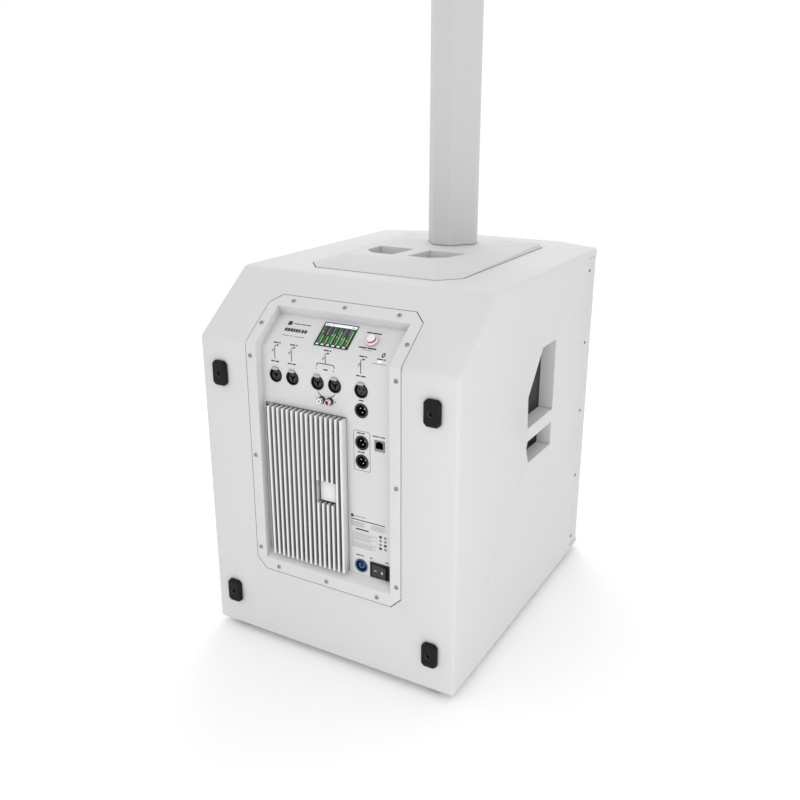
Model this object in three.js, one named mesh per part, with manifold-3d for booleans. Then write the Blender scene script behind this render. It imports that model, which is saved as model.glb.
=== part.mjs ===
// A column loudspeaker: a bass cabinet with a powered rear panel, a plain pole that plugs into its top,
// and a slim array of small drivers on the pole. Millimetres, +Z up. The grilles face -Y, the panel +Y.
// The origin is at the middle of the footprint, on the floor.
import * as THREE from "three";
import { mergeVertices } from "three/addons/utils/BufferGeometryUtils.js";
import { ConvexGeometry } from "three/addons/geometries/ConvexGeometry.js";
import Module from "manifold-3d";

const wasm = await Module();
wasm.setup();

// ---- driving dimensions ----
const GAP = 0.3; // clearance between touching pieces
const FIT = 1; // visible gap round a set-in panel

const WIDTH = 430;
const SHELL_HEIGHT = 570;
const FOOT_HEIGHT = 10;
const REAR = 282.5; // the rear wall's outer face
const SLOPE_RISE = 87;
const SLOPE_RUN = 111;
const WALL = 15;
const BOX_FRONT = -236; // front edge of the side walls
const LIP = 12; // the top and bottom lips that the grille sits between
const LIP_CORNER = -253.5;
const LIP_FRONT = -290.5;
const FRONT_FLAT = 136.5; // half width of the flat middle facet
const SIDE = WIDTH / 2;
const BOTTOM = FOOT_HEIGHT;
const TOP = BOTTOM + SHELL_HEIGHT;
const BEND_Z = TOP - SLOPE_RISE;
const SLOPE_TOP_Y = REAR - SLOPE_RUN;

const GRILLE_SET_BACK = 7;
const GRILLE_SHEET = 2;
const GRILLE_FLANGE = 36;

const BAFFLE = 18;
const WOOFER_Z = 354;
const WOOFER_R = 190;
const PORT_X = 118;
const PORT_Z = 92;
const PORT_R = 50;
const BRACE = { y: 20, sheet: 12, high: 262 };

const PLATE_HALF = 128.5; // amplifier plate
const PLATE_BOTTOM = 129.5;
const PLATE_SLOPE = 93;
const PLATE_SHEET = 3;
const PLATE_CHAMFER = 17;
const RECESS = 14; // depth of its recess
const RECESS_HALF = 111;
const RECESS_BOTTOM = 149.5;
const RECESS_RAMP = 10;
const RECESS_SLOPE = 73.5;
const RECESS_TOP_RAMP = 4;
const PAN_SHEET = 2.5; // the recess is a thinner pan behind the plate
const PLATE_OPENING = { half: 118, bottom: 138, slope: 83 }; // the cabinet's hole behind the plate

const JACK_HOLE_R = 11;
const JACK_R = 10.6;
const JACK_ROW = 446;
const COMBO_X = [87.5, 58, 14.5, -14.5];
const MIC_X = -58;
const OUTPUT_Z = [417, 369, 340.5];
const TAB = [9.2, 4]; // release tab, wide and high
const TAB_RISE = 10; // from a jack's centre to its tab's, which sits in a notch in the jack's rim
const TAB_TRAVEL = 2;
const PHONO_X = [7, -6.5];
const PHONO_Z = 422;
const NETWORK = [-87, 369.5];
const MAINS = [-54, 173.5];
const ROCKER = [-86, 173];

const FIN_COUNT = 16;
const FIN_PITCH = 8.4;
const FIN_FIRST_X = 95;
const FIN = 3.4;
const FIN_TIP = REAR - 1;
const LAST_FIN_X = FIN_FIRST_X - FIN_PITCH * (FIN_COUNT - 1);
const SINK_BASE = 246;
const SINK_LOW = 160;
const SINK_HIGH = 401;
const SINK_END = 3; // a low wall closes the gaps behind the plate at both ends
const SINK_SIDE = RECESS_HALF - 2.5; // the open slot beside the first fin runs out to here
const SINK_WINDOW = { left: -18.5, right: 12.5, low: 266, high: 301.5, floor: SINK_BASE + 22 };
const SINK_PAD = { left: -16, right: 10, low: 269, high: 299, face: SINK_BASE + 29 }; // stands in the window

const DISPLAY = [56.5, 41.5];
const DISPLAY_V = 44; // distance up the slope from the bend
const KNOB_X = -59.5;
const KNOB_R = 8.8;
const KNOB_CAP_R = 7; // the cap that stands on the knob's skirt

const HANDLE_WALL = 24;
const TRAY_HALF = 130.5;
const TRAY_REAR = 137;
const TRAY_FRONT = -219;
const TRAY_RISE_REAR = 17; // height of the sloping tray top over the cabinet, at its rear ridge
const TRAY_RISE_FRONT = 6.5;
const TRAY_RIDGE_Y = 92;
const TRAY_SEAT = 5; // depth that the tray is let into the cabinet's top
const TRAY_FIT = 1.6; // the wider gap round the tray
const PAD_RISE = 11.5; // the level pad that the pole stands on

const POLE_REAR = -79.5;
const POLE_DEPTH = 62;
const POLE_WALL = 4;
const POLE_LENGTH = 938.5;
const ARRAY_LENGTH = 820;
const DRIVER_COUNT = 8;
const DRIVER_PITCH = 97;
const PAD_Z = TOP + PAD_RISE;
const POLE_TOP = PAD_Z + POLE_LENGTH;

// ---- solids ----
function solid(geometry) {
  const bare = geometry.clone();
  for (const name of Object.keys(bare.attributes)) {
    if (name !== "position") bare.deleteAttribute(name);
  }
  const merged = mergeVertices(bare, 1e-4);
  const index = merged.index.array;
  const faces = [];
  for (let i = 0; i < index.length; i += 3) {
    const [a, b, c] = [index[i], index[i + 1], index[i + 2]];
    if (a !== b && b !== c && a !== c) faces.push(a, b, c);
  }
  const vertProperties = merged.attributes.position.array;
  const make = (list) =>
    new wasm.Manifold(new wasm.Mesh({ numProp: 3, vertProperties, triVerts: new Uint32Array(list) }));
  const made = make(faces);
  if (made.volume() > 0) return made;
  for (let i = 0; i < faces.length; i += 3) [faces[i + 1], faces[i + 2]] = [faces[i + 2], faces[i + 1]];
  return make(faces);
}

const join = (...pieces) => pieces.reduce((all, piece) => all.add(piece));
const cut = (body, ...tools) => tools.reduce((left, tool) => left.subtract(tool), body);

function block(x0, x1, y0, y1, z0, z1) {
  const geometry = new THREE.BoxGeometry(x1 - x0, y1 - y0, z1 - z0);
  return solid(geometry.translate((x0 + x1) / 2, (y0 + y1) / 2, (z0 + z1) / 2));
}

function outline(points) {
  return new THREE.Shape(points.map(([x, y]) => new THREE.Vector2(x, y)));
}

function prismZ(points, z0, z1, curveSegments = 12) {
  const shape = points.isShape ? points : outline(points);
  const options = { depth: z1 - z0, bevelEnabled: false, curveSegments };
  return solid(new THREE.ExtrudeGeometry(shape, options).translate(0, 0, z0));
}

// A side profile of (y, z) points, extruded along X.
function prismX(points, x0, x1) {
  const geometry = new THREE.ExtrudeGeometry(outline(points), { depth: x1 - x0, bevelEnabled: false });
  const turn = new THREE.Matrix4().makeBasis(
    new THREE.Vector3(0, 1, 0),
    new THREE.Vector3(0, 0, 1),
    new THREE.Vector3(1, 0, 0),
  );
  return solid(geometry.applyMatrix4(turn).translate(x0, 0, 0));
}

// A front view of (x, z) points, extruded along Y.
function prismY(points, y0, y1) {
  const geometry = new THREE.ExtrudeGeometry(outline(points), { depth: y1 - y0, bevelEnabled: false });
  return solid(geometry.rotateX(Math.PI / 2).translate(0, y1, 0));
}

// A turned piece on the Z axis from (radius, height) points, moved by x and y.
function turned(points, segments = 24, x = 0, y = 0) {
  const profile = points.map(([r, h]) => new THREE.Vector2(r, h));
  return solid(new THREE.LatheGeometry(profile, segments).rotateX(Math.PI / 2).translate(x, y, 0));
}

// A disc whose axis runs along Y.
function disc(x, z, r, y0, y1, segments = 40) {
  return solid(new THREE.CylinderGeometry(r, r, y1 - y0, segments).translate(x, (y0 + y1) / 2, z));
}

// A convex outline moved outwards by a distance.
function grown(points, distance) {
  const lines = points.map((a, i) => {
    const b = points[(i + 1) % points.length];
    const length = Math.hypot(b[0] - a[0], b[1] - a[1]);
    return { a, along: [(b[0] - a[0]) / length, (b[1] - a[1]) / length] };
  });
  const area = points.reduce((sum, a, i) => {
    const b = points[(i + 1) % points.length];
    return sum + a[0] * b[1] - b[0] * a[1];
  }, 0);
  const side = Math.sign(area) * distance;
  return lines.map((next, i) => {
    const last = lines[(i + lines.length - 1) % lines.length];
    const [ax, ay] = [last.a[0] + last.along[1] * side, last.a[1] - last.along[0] * side];
    const [bx, by] = [next.a[0] + next.along[1] * side, next.a[1] - next.along[0] * side];
    const cross = last.along[0] * next.along[1] - last.along[1] * next.along[0];
    const t = ((bx - ax) * next.along[1] - (by - ay) * next.along[0]) / cross;
    return [ax + last.along[0] * t, ay + last.along[1] * t];
  });
}

const mirrored = (half) => [...half, ...half.map(([x, y]) => [-x, y]).reverse()];

const finish = (color, roughness = 0.5, metalness = 0) =>
  new THREE.MeshStandardMaterial({ color, roughness, metalness, flatShading: true });

const white = finish(0xe6e7e8, 0.55);
const paleGrey = finish(0xd9dadb, 0.5);
const black = finish(0x101113, 0.5);
const rubber = finish(0x151516, 0.85);
const castMetal = finish(0xd2d3d4, 0.45, 0.2);
const steel = finish(0x9a9c9f, 0.35, 1);
const paper = finish(0x1d1d20, 0.9);
const wood = finish(0xb08d62, 0.8);
const board = finish(0x1f5a38, 0.6);

const system = new THREE.Group();

function mesh(name, piece, material, parent = system) {
  const { vertProperties, triVerts } = piece.getMesh();
  const geometry = new THREE.BufferGeometry();
  geometry.setAttribute("position", new THREE.BufferAttribute(vertProperties, 3));
  geometry.setIndex(new THREE.BufferAttribute(triVerts, 1));
  geometry.computeVertexNormals();
  const made = new THREE.Mesh(geometry, material);
  made.name = name;
  parent.add(made);
  return made;
}

// A group on the rear panel: local x is to the right for someone behind the cabinet, y up, z outwards.
function panelGroup(x, y, z, tilt = 0) {
  const group = new THREE.Group();
  const facing = new THREE.Matrix4().makeBasis(
    new THREE.Vector3(-1, 0, 0),
    new THREE.Vector3(0, -Math.sin(tilt), Math.cos(tilt)),
    new THREE.Vector3(0, Math.cos(tilt), Math.sin(tilt)),
  );
  group.quaternion.setFromRotationMatrix(facing);
  group.position.set(x, y, z);
  system.add(group);
  return group;
}

// ---- the bent rear face: its rear plane and its slope, at a depth below the surface ----
const SLOPE_LENGTH = Math.hypot(SLOPE_RUN, SLOPE_RISE);
const TILT = Math.atan2(SLOPE_RUN, SLOPE_RISE);
const UP_SLOPE = [-SLOPE_RUN / SLOPE_LENGTH, SLOPE_RISE / SLOPE_LENGTH];
const OFF_SLOPE = [SLOPE_RISE / SLOPE_LENGTH, SLOPE_RUN / SLOPE_LENGTH];

const bendPoint = (depth) => [REAR - depth, BEND_Z - (depth * (1 - OFF_SLOPE[0])) / OFF_SLOPE[1]];
const slopePoint = (up, depth) => [
  REAR + UP_SLOPE[0] * up - OFF_SLOPE[0] * depth,
  BEND_Z + UP_SLOPE[1] * up - OFF_SLOPE[1] * depth,
];

// A bent sheet that follows the rear face between two depths, with chamfered corners.
function bentSheet(half, bottom, up, chamfer, outer, inner) {
  const side = [
    [REAR - outer, bottom],
    bendPoint(outer),
    slopePoint(up, outer),
    slopePoint(up, inner),
    bendPoint(inner),
    [REAR - inner, bottom],
  ];
  const c = chamfer;
  const lowCorner = (s) => [
    [s * (half - 2 * c), bottom - c],
    [s * (half + c), bottom - c],
    [s * (half + c), bottom + 2 * c],
  ];
  const topCorner = (s) => [
    [s * (half - 2 * c), up + c],
    [s * (half + c), up + c],
    [s * (half + c), up - 2 * c],
  ];
  const turn = new THREE.Matrix4().makeBasis(
    new THREE.Vector3(1, 0, 0),
    new THREE.Vector3(0, ...UP_SLOPE),
    new THREE.Vector3(0, -OFF_SLOPE[0], -OFF_SLOPE[1]),
  );
  const topTool = (s) => {
    const tool = new THREE.ExtrudeGeometry(outline(topCorner(s)), { depth: 60, bevelEnabled: false });
    tool.translate(0, 0, -20).applyMatrix4(turn);
    return solid(tool.translate(0, REAR, BEND_Z));
  };
  return cut(
    prismX(side, -half, half),
    prismY(lowCorner(1), REAR - 30, REAR + 10),
    prismY(lowCorner(-1), REAR - 30, REAR + 10),
    topTool(1),
    topTool(-1),
  );
}

// ---- cabinet ----
const lipOutline = mirrored([
  [SIDE, BOX_FRONT + 5],
  [SIDE, LIP_CORNER],
  [FRONT_FLAT, LIP_FRONT],
]);

// Grip openings in a side wall, as (y, z) points.
const upperGrip = [
  [-67, 343],
  [40, 343],
  [43, 395],
  [-10, 461],
  [-67, 461],
];
const lowerGrip = [
  [-66, 281],
  [31, 283],
  [41, 310],
  [37, 321],
  [-66, 321],
];
const CUP = { y0: -84, y1: 60, z0: 266, z1: 476, inner: 148 };

const trayOutline = mirrored([
  [TRAY_HALF - 14, TRAY_FRONT],
  [TRAY_HALF, TRAY_FRONT + 14],
  [TRAY_HALF, TRAY_REAR - 32],
  [TRAY_HALF - 28, TRAY_REAR],
]);

function cabinet() {
  const outer = [[REAR, BOTTOM], [REAR, BEND_Z], [SLOPE_TOP_Y, TOP], [BOX_FRONT, TOP], [BOX_FRONT, BOTTOM]];
  const ceiling = TOP - WALL;
  const slopeInner = slopePoint(0, WALL);
  const run = (ceiling - slopeInner[1]) / SLOPE_RISE;
  const inner = [
    [REAR - WALL, BOTTOM + WALL],
    bendPoint(WALL),
    [slopeInner[0] - SLOPE_RUN * run, ceiling],
    [BOX_FRONT - 10, ceiling],
    [BOX_FRONT - 10, BOTTOM + WALL],
  ];
  const hollow = prismX(inner, -SIDE + WALL, SIDE - WALL);
  const shell = cut(prismX(outer, -SIDE, SIDE), hollow);
  const parts = [shell, prismZ(lipOutline, TOP - LIP, TOP), prismZ(lipOutline, BOTTOM, BOTTOM + LIP)];
  const tools = [];
  for (const s of [1, -1]) {
    const xs = (a, b) => [Math.min(s * a, s * b), Math.max(s * a, s * b)];
    const boss = xs(SIDE - HANDLE_WALL, SIDE - WALL + 1);
    parts.push(block(...boss, CUP.y0, CUP.y1, CUP.z0, CUP.z1));
    const through = xs(SIDE - HANDLE_WALL - 5, SIDE + 5);
    tools.push(prismX(upperGrip, ...through), prismX(lowerGrip, ...through));
    const flangeRear = LIP_CORNER + GRILLE_SET_BACK + GRILLE_FLANGE;
    const rebate = xs(SIDE - GRILLE_SHEET - GAP, SIDE + 5);
    tools.push(block(...rebate, BOX_FRONT - 2, flangeRear + FIT, BOTTOM + LIP, TOP - LIP));
  }
  const { half, bottom, slope } = PLATE_OPENING;
  const amplifierHole = [
    [REAR + 5, bottom],
    bendPoint(-5),
    slopePoint(slope, -5),
    slopePoint(slope, 40),
    bendPoint(40),
    [REAR - 40, bottom],
  ];
  const rim = [PLATE_HALF + FIT, PLATE_BOTTOM - FIT, PLATE_SLOPE + FIT, PLATE_CHAMFER];
  tools.push(prismX(amplifierHole, -half, half));
  tools.push(bentSheet(...rim, -5, PLATE_SHEET + GAP));
  tools.push(prismZ(grown(trayOutline, TRAY_FIT), TOP - TRAY_SEAT, TOP + 5));
  tools.push(prismZ(grown(trayOutline, -13), TOP - 40, TOP + 5));
  return cut(join(...parts), ...tools);
}

// ---- front: baffle, ports, grille ----
function frontBaffle() {
  const inside = SIDE - WALL - GAP;
  const low = BOTTOM + WALL + GAP;
  const high = TOP - WALL - GAP;
  const plate = block(-inside, inside, BOX_FRONT, BOX_FRONT + BAFFLE, low, high);
  const holes = [disc(0, WOOFER_Z, WOOFER_R - 13, BOX_FRONT - 5, BOX_FRONT + BAFFLE + 5)];
  for (const s of [1, -1]) {
    holes.push(disc(s * PORT_X, PORT_Z, PORT_R + GAP, BOX_FRONT - 5, BOX_FRONT + BAFFLE + 5, 32));
  }
  return cut(plate, ...holes);
}

function frontGrille() {
  const back = LIP_CORNER + GRILLE_SET_BACK;
  const outside = mirrored([
    [SIDE, back + GRILLE_FLANGE],
    [SIDE, back],
    [FRONT_FLAT, LIP_FRONT + GRILLE_SET_BACK],
  ]);
  const t = GRILLE_SHEET;
  const inside = mirrored([
    [SIDE - t, back + GRILLE_FLANGE + 10],
    [SIDE - t, back + t * 0.6],
    [FRONT_FLAT - t * 0.2, LIP_FRONT + GRILLE_SET_BACK + t],
  ]);
  return cut(
    prismZ(outside, BOTTOM + LIP + FIT, TOP - LIP - FIT),
    prismZ(inside, BOTTOM + LIP - 5, TOP - LIP + 5),
  );
}

function braceBoard() {
  const wide = SIDE - WALL - GAP;
  const frame = block(-wide, wide, BRACE.y, BRACE.y + BRACE.sheet, BOTTOM + WALL + GAP, BRACE.high);
  return cut(frame, block(-150, 150, 10, 40, 60, 225));
}

// ---- woofer, on the Z axis of its own group, front up ----
function wooferFrame() {
  const R = WOOFER_R;
  const flange = [[R - 16, -1], [R - 18, 6], [R, 6], [R, 0.5], [R - 14.5, 0.5], [R - 14.5, -8]];
  const back = [[R - 40, -40], [88, -112], [60, -112], [60, -108]];
  const inside = [[84, -108], [R - 44, -38], [R - 18.5, -10]];
  return turned([...flange, ...back, ...inside, [R - 16, -1]], 32);
}

function wooferSurround() {
  const [outer, inner] = [WOOFER_R - 19, WOOFER_R - 45];
  const middle = (outer + inner) / 2;
  const roll = (outer - inner) / 2 - 2;
  const arch = (r, steps) =>
    Array.from({ length: steps + 1 }, (_, i) => {
      const a = Math.PI * (1 - i / steps);
      return [middle + r * Math.cos(a), r * Math.sin(a) * 0.75];
    });
  const over = arch(roll, 4);
  const under = arch(roll - 2, 4).reverse();
  return turned([[inner, 0], ...over, [outer, 0], [outer, -2], ...under, [inner, -2], [inner, 0]], 32);
}

function wooferCone() {
  const rim = WOOFER_R - 46;
  const sheet = [[48, -74], [rim, 0], [rim, -3], [49, -79]];
  const voiceCoil = [[37, -79], [37, -106], [34, -106], [34, -74]];
  return turned([...sheet, ...voiceCoil, [48, -74]], 32);
}

function dustCap() {
  const steps = 4;
  const dome = (r, h) =>
    Array.from({ length: steps + 1 }, (_, i) => {
      const a = (Math.PI / 2) * (i / steps);
      return [r * Math.cos(a), -64 + h * Math.sin(a)];
    });
  return turned([...dome(60, 22).reverse(), [57, -64], ...dome(57, 20).slice(1)], 24);
}

function wooferMagnet() {
  const middlePost = [[0, -112.5], [24, -112.5], [24, -104], [32, -104], [32, -114]];
  const ring = [[72, -114], [78, -120], [78, -152], [0, -152]];
  return turned([...middlePost, ...ring], 32);
}

function portTube() {
  const outside = [[PORT_R, 0], [PORT_R, -150]];
  const bore = [[PORT_R - 3, -150], [PORT_R - 3, -6], [PORT_R - 5, 0]];
  return turned([...outside, ...bore, [PORT_R, 0]], 24);
}

// ---- rear panel ----
const panelHole = (x, z, r) => disc(x, z, r, REAR - 40, REAR + 5, 20);

function amplifierPlate() {
  const flange = bentSheet(PLATE_HALF, PLATE_BOTTOM, PLATE_SLOPE, PLATE_CHAMFER, 0, PLATE_SHEET);
  const recessProfile = [
    [REAR + 5, RECESS_BOTTOM],
    [REAR, RECESS_BOTTOM],
    [REAR - RECESS, RECESS_BOTTOM + RECESS_RAMP],
    bendPoint(RECESS),
    slopePoint(RECESS_SLOPE - RECESS_TOP_RAMP, RECESS),
    slopePoint(RECESS_SLOPE, -5),
    bendPoint(-5),
  ];
  const back = RECESS + PAN_SHEET;
  const lip = PLATE_SHEET / 2;
  const panProfile = [
    [REAR - lip, RECESS_BOTTOM - PAN_SHEET],
    [REAR - back, RECESS_BOTTOM + RECESS_RAMP - PAN_SHEET],
    bendPoint(back),
    slopePoint(RECESS_SLOPE - RECESS_TOP_RAMP + PAN_SHEET, back),
    slopePoint(RECESS_SLOPE + PAN_SHEET, lip),
    bendPoint(lip),
  ];
  const pan = prismX(panProfile, -RECESS_HALF - PAN_SHEET, RECESS_HALF + PAN_SHEET);
  const recess = prismX(recessProfile, -RECESS_HALF, RECESS_HALF);
  const holes = COMBO_X.map((x) => panelHole(x, JACK_ROW, JACK_HOLE_R));
  holes.push(panelHole(MIC_X, JACK_ROW, JACK_HOLE_R));
  for (const z of OUTPUT_Z) holes.push(panelHole(MIC_X, z, JACK_HOLE_R));
  for (const x of PHONO_X) holes.push(panelHole(x, PHONO_Z, 4.5));
  holes.push(panelHole(...MAINS, JACK_HOLE_R));
  for (const x of [...COMBO_X, MIC_X]) {
    const [w, h] = [TAB[0] / 2 + GAP, TAB[1] / 2 + GAP];
    const z = JACK_ROW + TAB_RISE;
    holes.push(block(x - w, x + w, REAR - 40, REAR + 5, z - h, z + h));
  }
  const [nx, nz] = NETWORK;
  holes.push(block(nx - 8.3, nx + 8.3, REAR - 40, REAR + 5, nz - 8.3, nz + 8.3));
  const [rx, rz] = ROCKER;
  holes.push(block(rx - 15, rx + 15, REAR - 40, REAR + 5, rz - 11.5, rz + 11.5));
  const low = LAST_FIN_X - FIN / 2 - 0.6;
  const [sy, sz] = slopePoint(DISPLAY_V, RECESS);
  const shaftHole = new THREE.CylinderGeometry(4, 4, 20, 16).rotateX(TILT);
  holes.push(solid(shaftHole.translate(KNOB_X, sy, sz)));
  holes.push(block(low, SINK_SIDE + 0.5, REAR - 40, REAR + 5, SINK_LOW - 0.5, SINK_HIGH + 1.5));
  return cut(join(flange, cut(pan, recess)), recess, ...holes);
}

function heatSink() {
  const points = [[LAST_FIN_X - FIN / 2, SINK_BASE - 8]];
  for (let i = FIN_COUNT - 1; i >= 0; i--) {
    const x = FIN_FIRST_X - FIN_PITCH * i;
    if (i < FIN_COUNT - 1) points.push([x - FIN / 2, SINK_BASE]);
    points.push([x - FIN / 2, FIN_TIP], [x + FIN / 2, FIN_TIP], [x + FIN / 2, SINK_BASE]);
  }
  points.push([SINK_SIDE, SINK_BASE], [SINK_SIDE, SINK_BASE - 8]);
  const comb = prismZ(points, SINK_LOW, SINK_HIGH);
  const ends = [[SINK_LOW, SINK_LOW + SINK_END], [SINK_HIGH - SINK_END, SINK_HIGH]].map(([low, high]) =>
    block(LAST_FIN_X - FIN / 2, SINK_SIDE, SINK_BASE - 4, REAR - RECESS - PAN_SHEET, low, high),
  );
  const [w, p] = [SINK_WINDOW, SINK_PAD];
  const window = block(w.left, w.right, w.floor, REAR + 5, w.low, w.high);
  const pad = block(p.left, p.right, SINK_BASE - 1, p.face, p.low, p.high);
  return join(cut(comb, window), pad, ...ends);
}

// A jack in its own group: the panel's face is at z = 0 and the body runs back from there.
function jackShell(cavityR, depth) {
  return cut(
    turned([[0, -depth - 3], [JACK_R, -depth - 3], [JACK_R, 0.8], [JACK_R - 0.6, 1.2], [0, 1.2]], 24),
    turned([[0, -depth], [cavityR, -depth], [cavityR, 5], [0, 5]], 20),
  );
}

// The notch in a jack's rim that its release tab moves in.
const tabNotch = () => block(-TAB[0] / 2 - GAP, TAB[0] / 2 + GAP, TAB_RISE - TAB[1] / 2 - GAP, 15, -30, 5);

const PINS = [[-3.6, 2], [3.6, 2], [0, -3.8]];

function comboJack() {
  const core = turned([[0, -13], [7.4, -13], [7.4, -0.8], [0, -0.8]], 16);
  const bore = turned([[0, -22], [3.5, -22], [3.5, 5], [0, 5]], 12);
  const back = turned([[0, -24], [9, -24], [9, -12], [0, -12]], 16);
  return cut(join(jackShell(9, 12), core, back), bore, tabNotch());
}

function micJack() {
  const core = turned([[0, -15], [7.6, -15], [7.6, -1], [0, -1]], 20);
  const holes = PINS.map(([x, y]) => turned([[0, -12], [1.3, -12], [1.3, 5], [0, 5]], 8, x, y));
  return cut(join(jackShell(9, 14), core), ...holes, tabNotch());
}

function lineOutput() {
  const pins = PINS.map(([x, y]) => turned([[0, -15], [1.1, -15], [1.1, -3.5], [0, -2.8]], 8, x, y));
  return join(jackShell(9.6, 14), ...pins);
}

function phonoJack() {
  const collar = [[4.1, 0], [5.4, 0], [5.4, 1.5], [4.1, 1.5]];
  const barrel = turned([[0, -10], [4.1, -10], ...collar, [4.1, 9], [0, 9]], 16);
  return cut(barrel, turned([[0, -6], [1.8, -6], [1.8, 12], [0, 12]], 10));
}

function networkJack() {
  const body = block(-8, 8, -8, 8, -18, 0.6);
  return cut(body, block(-6, 6, -4, 5.5, -14, 5), block(-3, 3, 5.4, 7, -14, 5));
}

function mainsInlet() {
  const core = turned([[0, -16], [4.8, -16], [4.8, -2], [0, -2]], 16);
  return join(jackShell(9.8, 15), core);
}

function rockerHousing() {
  const bezel = join(block(-16.2, 16.2, -12.2, 12.2, GAP, 1.8), block(-14.6, 14.6, -11.1, 11.1, -20, 1));
  return cut(bezel, block(-13.2, 13.2, -9.6, 9.6, -15, 5));
}

// The rocker's pivot is at the origin of its own geometry; it rests with its left half pressed, switched on.
function rocker() {
  const face = [[-12.2, 2.9], [0, 2.2], [11.9, 6.2], [11.6, -3], [3, -6], [-3, -6], [-11.6, -1.2]];
  const geometry = new THREE.ExtrudeGeometry(outline(face), { depth: 18.4, bevelEnabled: false });
  return solid(geometry.rotateX(Math.PI / 2).translate(0, 9.2, 0));
}

function knob() {
  const skirt = [[0, 1], [KNOB_R, 1], [KNOB_R, 4], [KNOB_R - 0.8, 4.8]];
  const cap = [[KNOB_CAP_R, 4.8], [KNOB_CAP_R, 7.5], [KNOB_CAP_R - 0.5, 8], [0, 8]];
  return cut(turned([...skirt, ...cap], 36), turned([[0, 0], [3.1, 0], [3.1, 5.5], [0, 5.5]], 16));
}

function encoderShaft() {
  return turned([[0, -8], [2.8, -8], [2.8, 4.6], [0, 4.6]], 16);
}

// A circuit board with its large parts, each as [x, y, width, height, rise].
function boardWith(width, height, parts) {
  const pieces = parts.map(([x, y, w, h, rise]) => {
    return block(x - w / 2, x + w / 2, y - h / 2, y + h / 2, -0.5, rise);
  });
  return join(block(-width / 2, width / 2, -height / 2, height / 2, -2, 0), ...pieces);
}

// ---- bumpers and feet ----
function bumper() {
  const [w, h, c] = [12.4, 19, 4.5];
  const plan = (inset, corner) => [
    [w - inset, h - corner],
    [w - corner, h - inset],
    [-w + corner, h - inset],
    [-w + inset, h - corner],
    [-w + inset, -h + corner],
    [-w + corner, -h + inset],
    [w - corner, -h + inset],
    [w - inset, -h + corner],
  ];
  const points = [];
  for (const [inset, corner, z] of [[0, c, GAP], [0, c, 5.5], [2.2, c + 1, 8]]) {
    for (const [x, y] of plan(inset, corner)) points.push(new THREE.Vector3(x, y, z));
  }
  const body = solid(new ConvexGeometry(points));
  return cut(body, turned([[0, 4], [4.6, 4], [5.4, 9], [0, 9]], 16));
}

function foot() {
  return turned([[0, 0], [8.5, 0], [11, 1.2], [13.5, FOOT_HEIGHT - GAP], [0, FOOT_HEIGHT - GAP]], 24);
}

// ---- top tray: a low faceted island with two finger wells, a grip bar and the pole's pad ----
const trayTop = (y) => {
  const t = (y - TRAY_FRONT) / (TRAY_RIDGE_Y - TRAY_FRONT);
  return TOP + TRAY_RISE_FRONT + (TRAY_RISE_REAR - TRAY_RISE_FRONT) * t;
};
// A finger well: upright sides, and a front wall that leans back a little as it goes down.
const WELL = { inner: 13.5, front: -14, rear: 60, frontFoot: -9, footZ: TOP - 10 };
const wellPlan = [
  [WELL.inner, WELL.rear],
  [50, WELL.rear],
  [72, 38],
  [78.5, WELL.front],
  [WELL.inner, WELL.front],
];
const PLUG = { x: 26, y: 10, deep: 30, mid: POLE_REAR - 35 };

function topTray() {
  const base = TOP - TRAY_SEAT + GAP;
  const points = [];
  for (const [x, y] of trayOutline) {
    points.push(new THREE.Vector3(x, y, base), new THREE.Vector3(x, y, TOP + 0.8));
  }
  for (const [x, y] of [[78, TRAY_RIDGE_Y], [80, 25], [TRAY_HALF - 3, TRAY_FRONT + 18]]) {
    for (const s of [1, -1]) points.push(new THREE.Vector3(s * x, y, trayTop(y)));
  }
  const island = solid(new ConvexGeometry(points));
  const cup = block(-98, 98, -64, 82, 527, TOP);
  const socket = block(-34, 34, PLUG.mid - 18, PLUG.mid + 18, PAD_Z - PLUG.deep - 6, TOP);
  const pad = prismZ(grown(poleOutline, 2), TOP, PAD_Z - GAP);
  const tools = [block(-90, 90, -56, 74, 530, TOP - 6)];
  const wellTop = trayTop(WELL.front);
  for (const s of [1, -1]) {
    const points = wellPlan.flatMap(([x, y]) => {
      const foot = y === WELL.front ? WELL.frontFoot : y;
      return [new THREE.Vector3(s * x, y, wellTop), new THREE.Vector3(s * x, foot, WELL.footZ)];
    });
    const above = wellPlan.map(([x, y]) => [s * x, y]);
    tools.push(solid(new ConvexGeometry(points)), prismZ(above, wellTop, TOP + 30));
  }
  const above = prismZ(grown(poleOutline, 2), PAD_Z - GAP, TOP + 40);
  const [px, py] = [PLUG.x + 1, PLUG.y + 1];
  tools.push(block(-px, px, PLUG.mid - py, PLUG.mid + py, PAD_Z - PLUG.deep - 2, TOP + 40));
  return cut(join(island, cup, socket, pad), above, ...tools);
}

// ---- pole and array, on one outline ----
const poleOutline = mirrored([
  [37.5, POLE_REAR - POLE_DEPTH],
  [43.8, POLE_REAR - 37.7],
  [16, POLE_REAR],
]);

function pole() {
  const hollow = prismZ(grown(poleOutline, -POLE_WALL), PAD_Z - 5, POLE_TOP + 5);
  return cut(prismZ(poleOutline, PAD_Z, POLE_TOP), hollow);
}

function polePlug() {
  const inside = prismZ(grown(poleOutline, -POLE_WALL - GAP), PAD_Z + 0.5, PAD_Z + 40);
  const nose = block(-PLUG.x, PLUG.x, PLUG.mid - PLUG.y, PLUG.mid + PLUG.y, PAD_Z - PLUG.deep, PAD_Z + 1);
  return join(inside, nose);
}

const ARRAY_BAFFLE = POLE_REAR - POLE_DEPTH + 6;
const driverZ = (i) => POLE_TOP + ARRAY_LENGTH / 2 + (i - (DRIVER_COUNT - 1) / 2) * DRIVER_PITCH;

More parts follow.
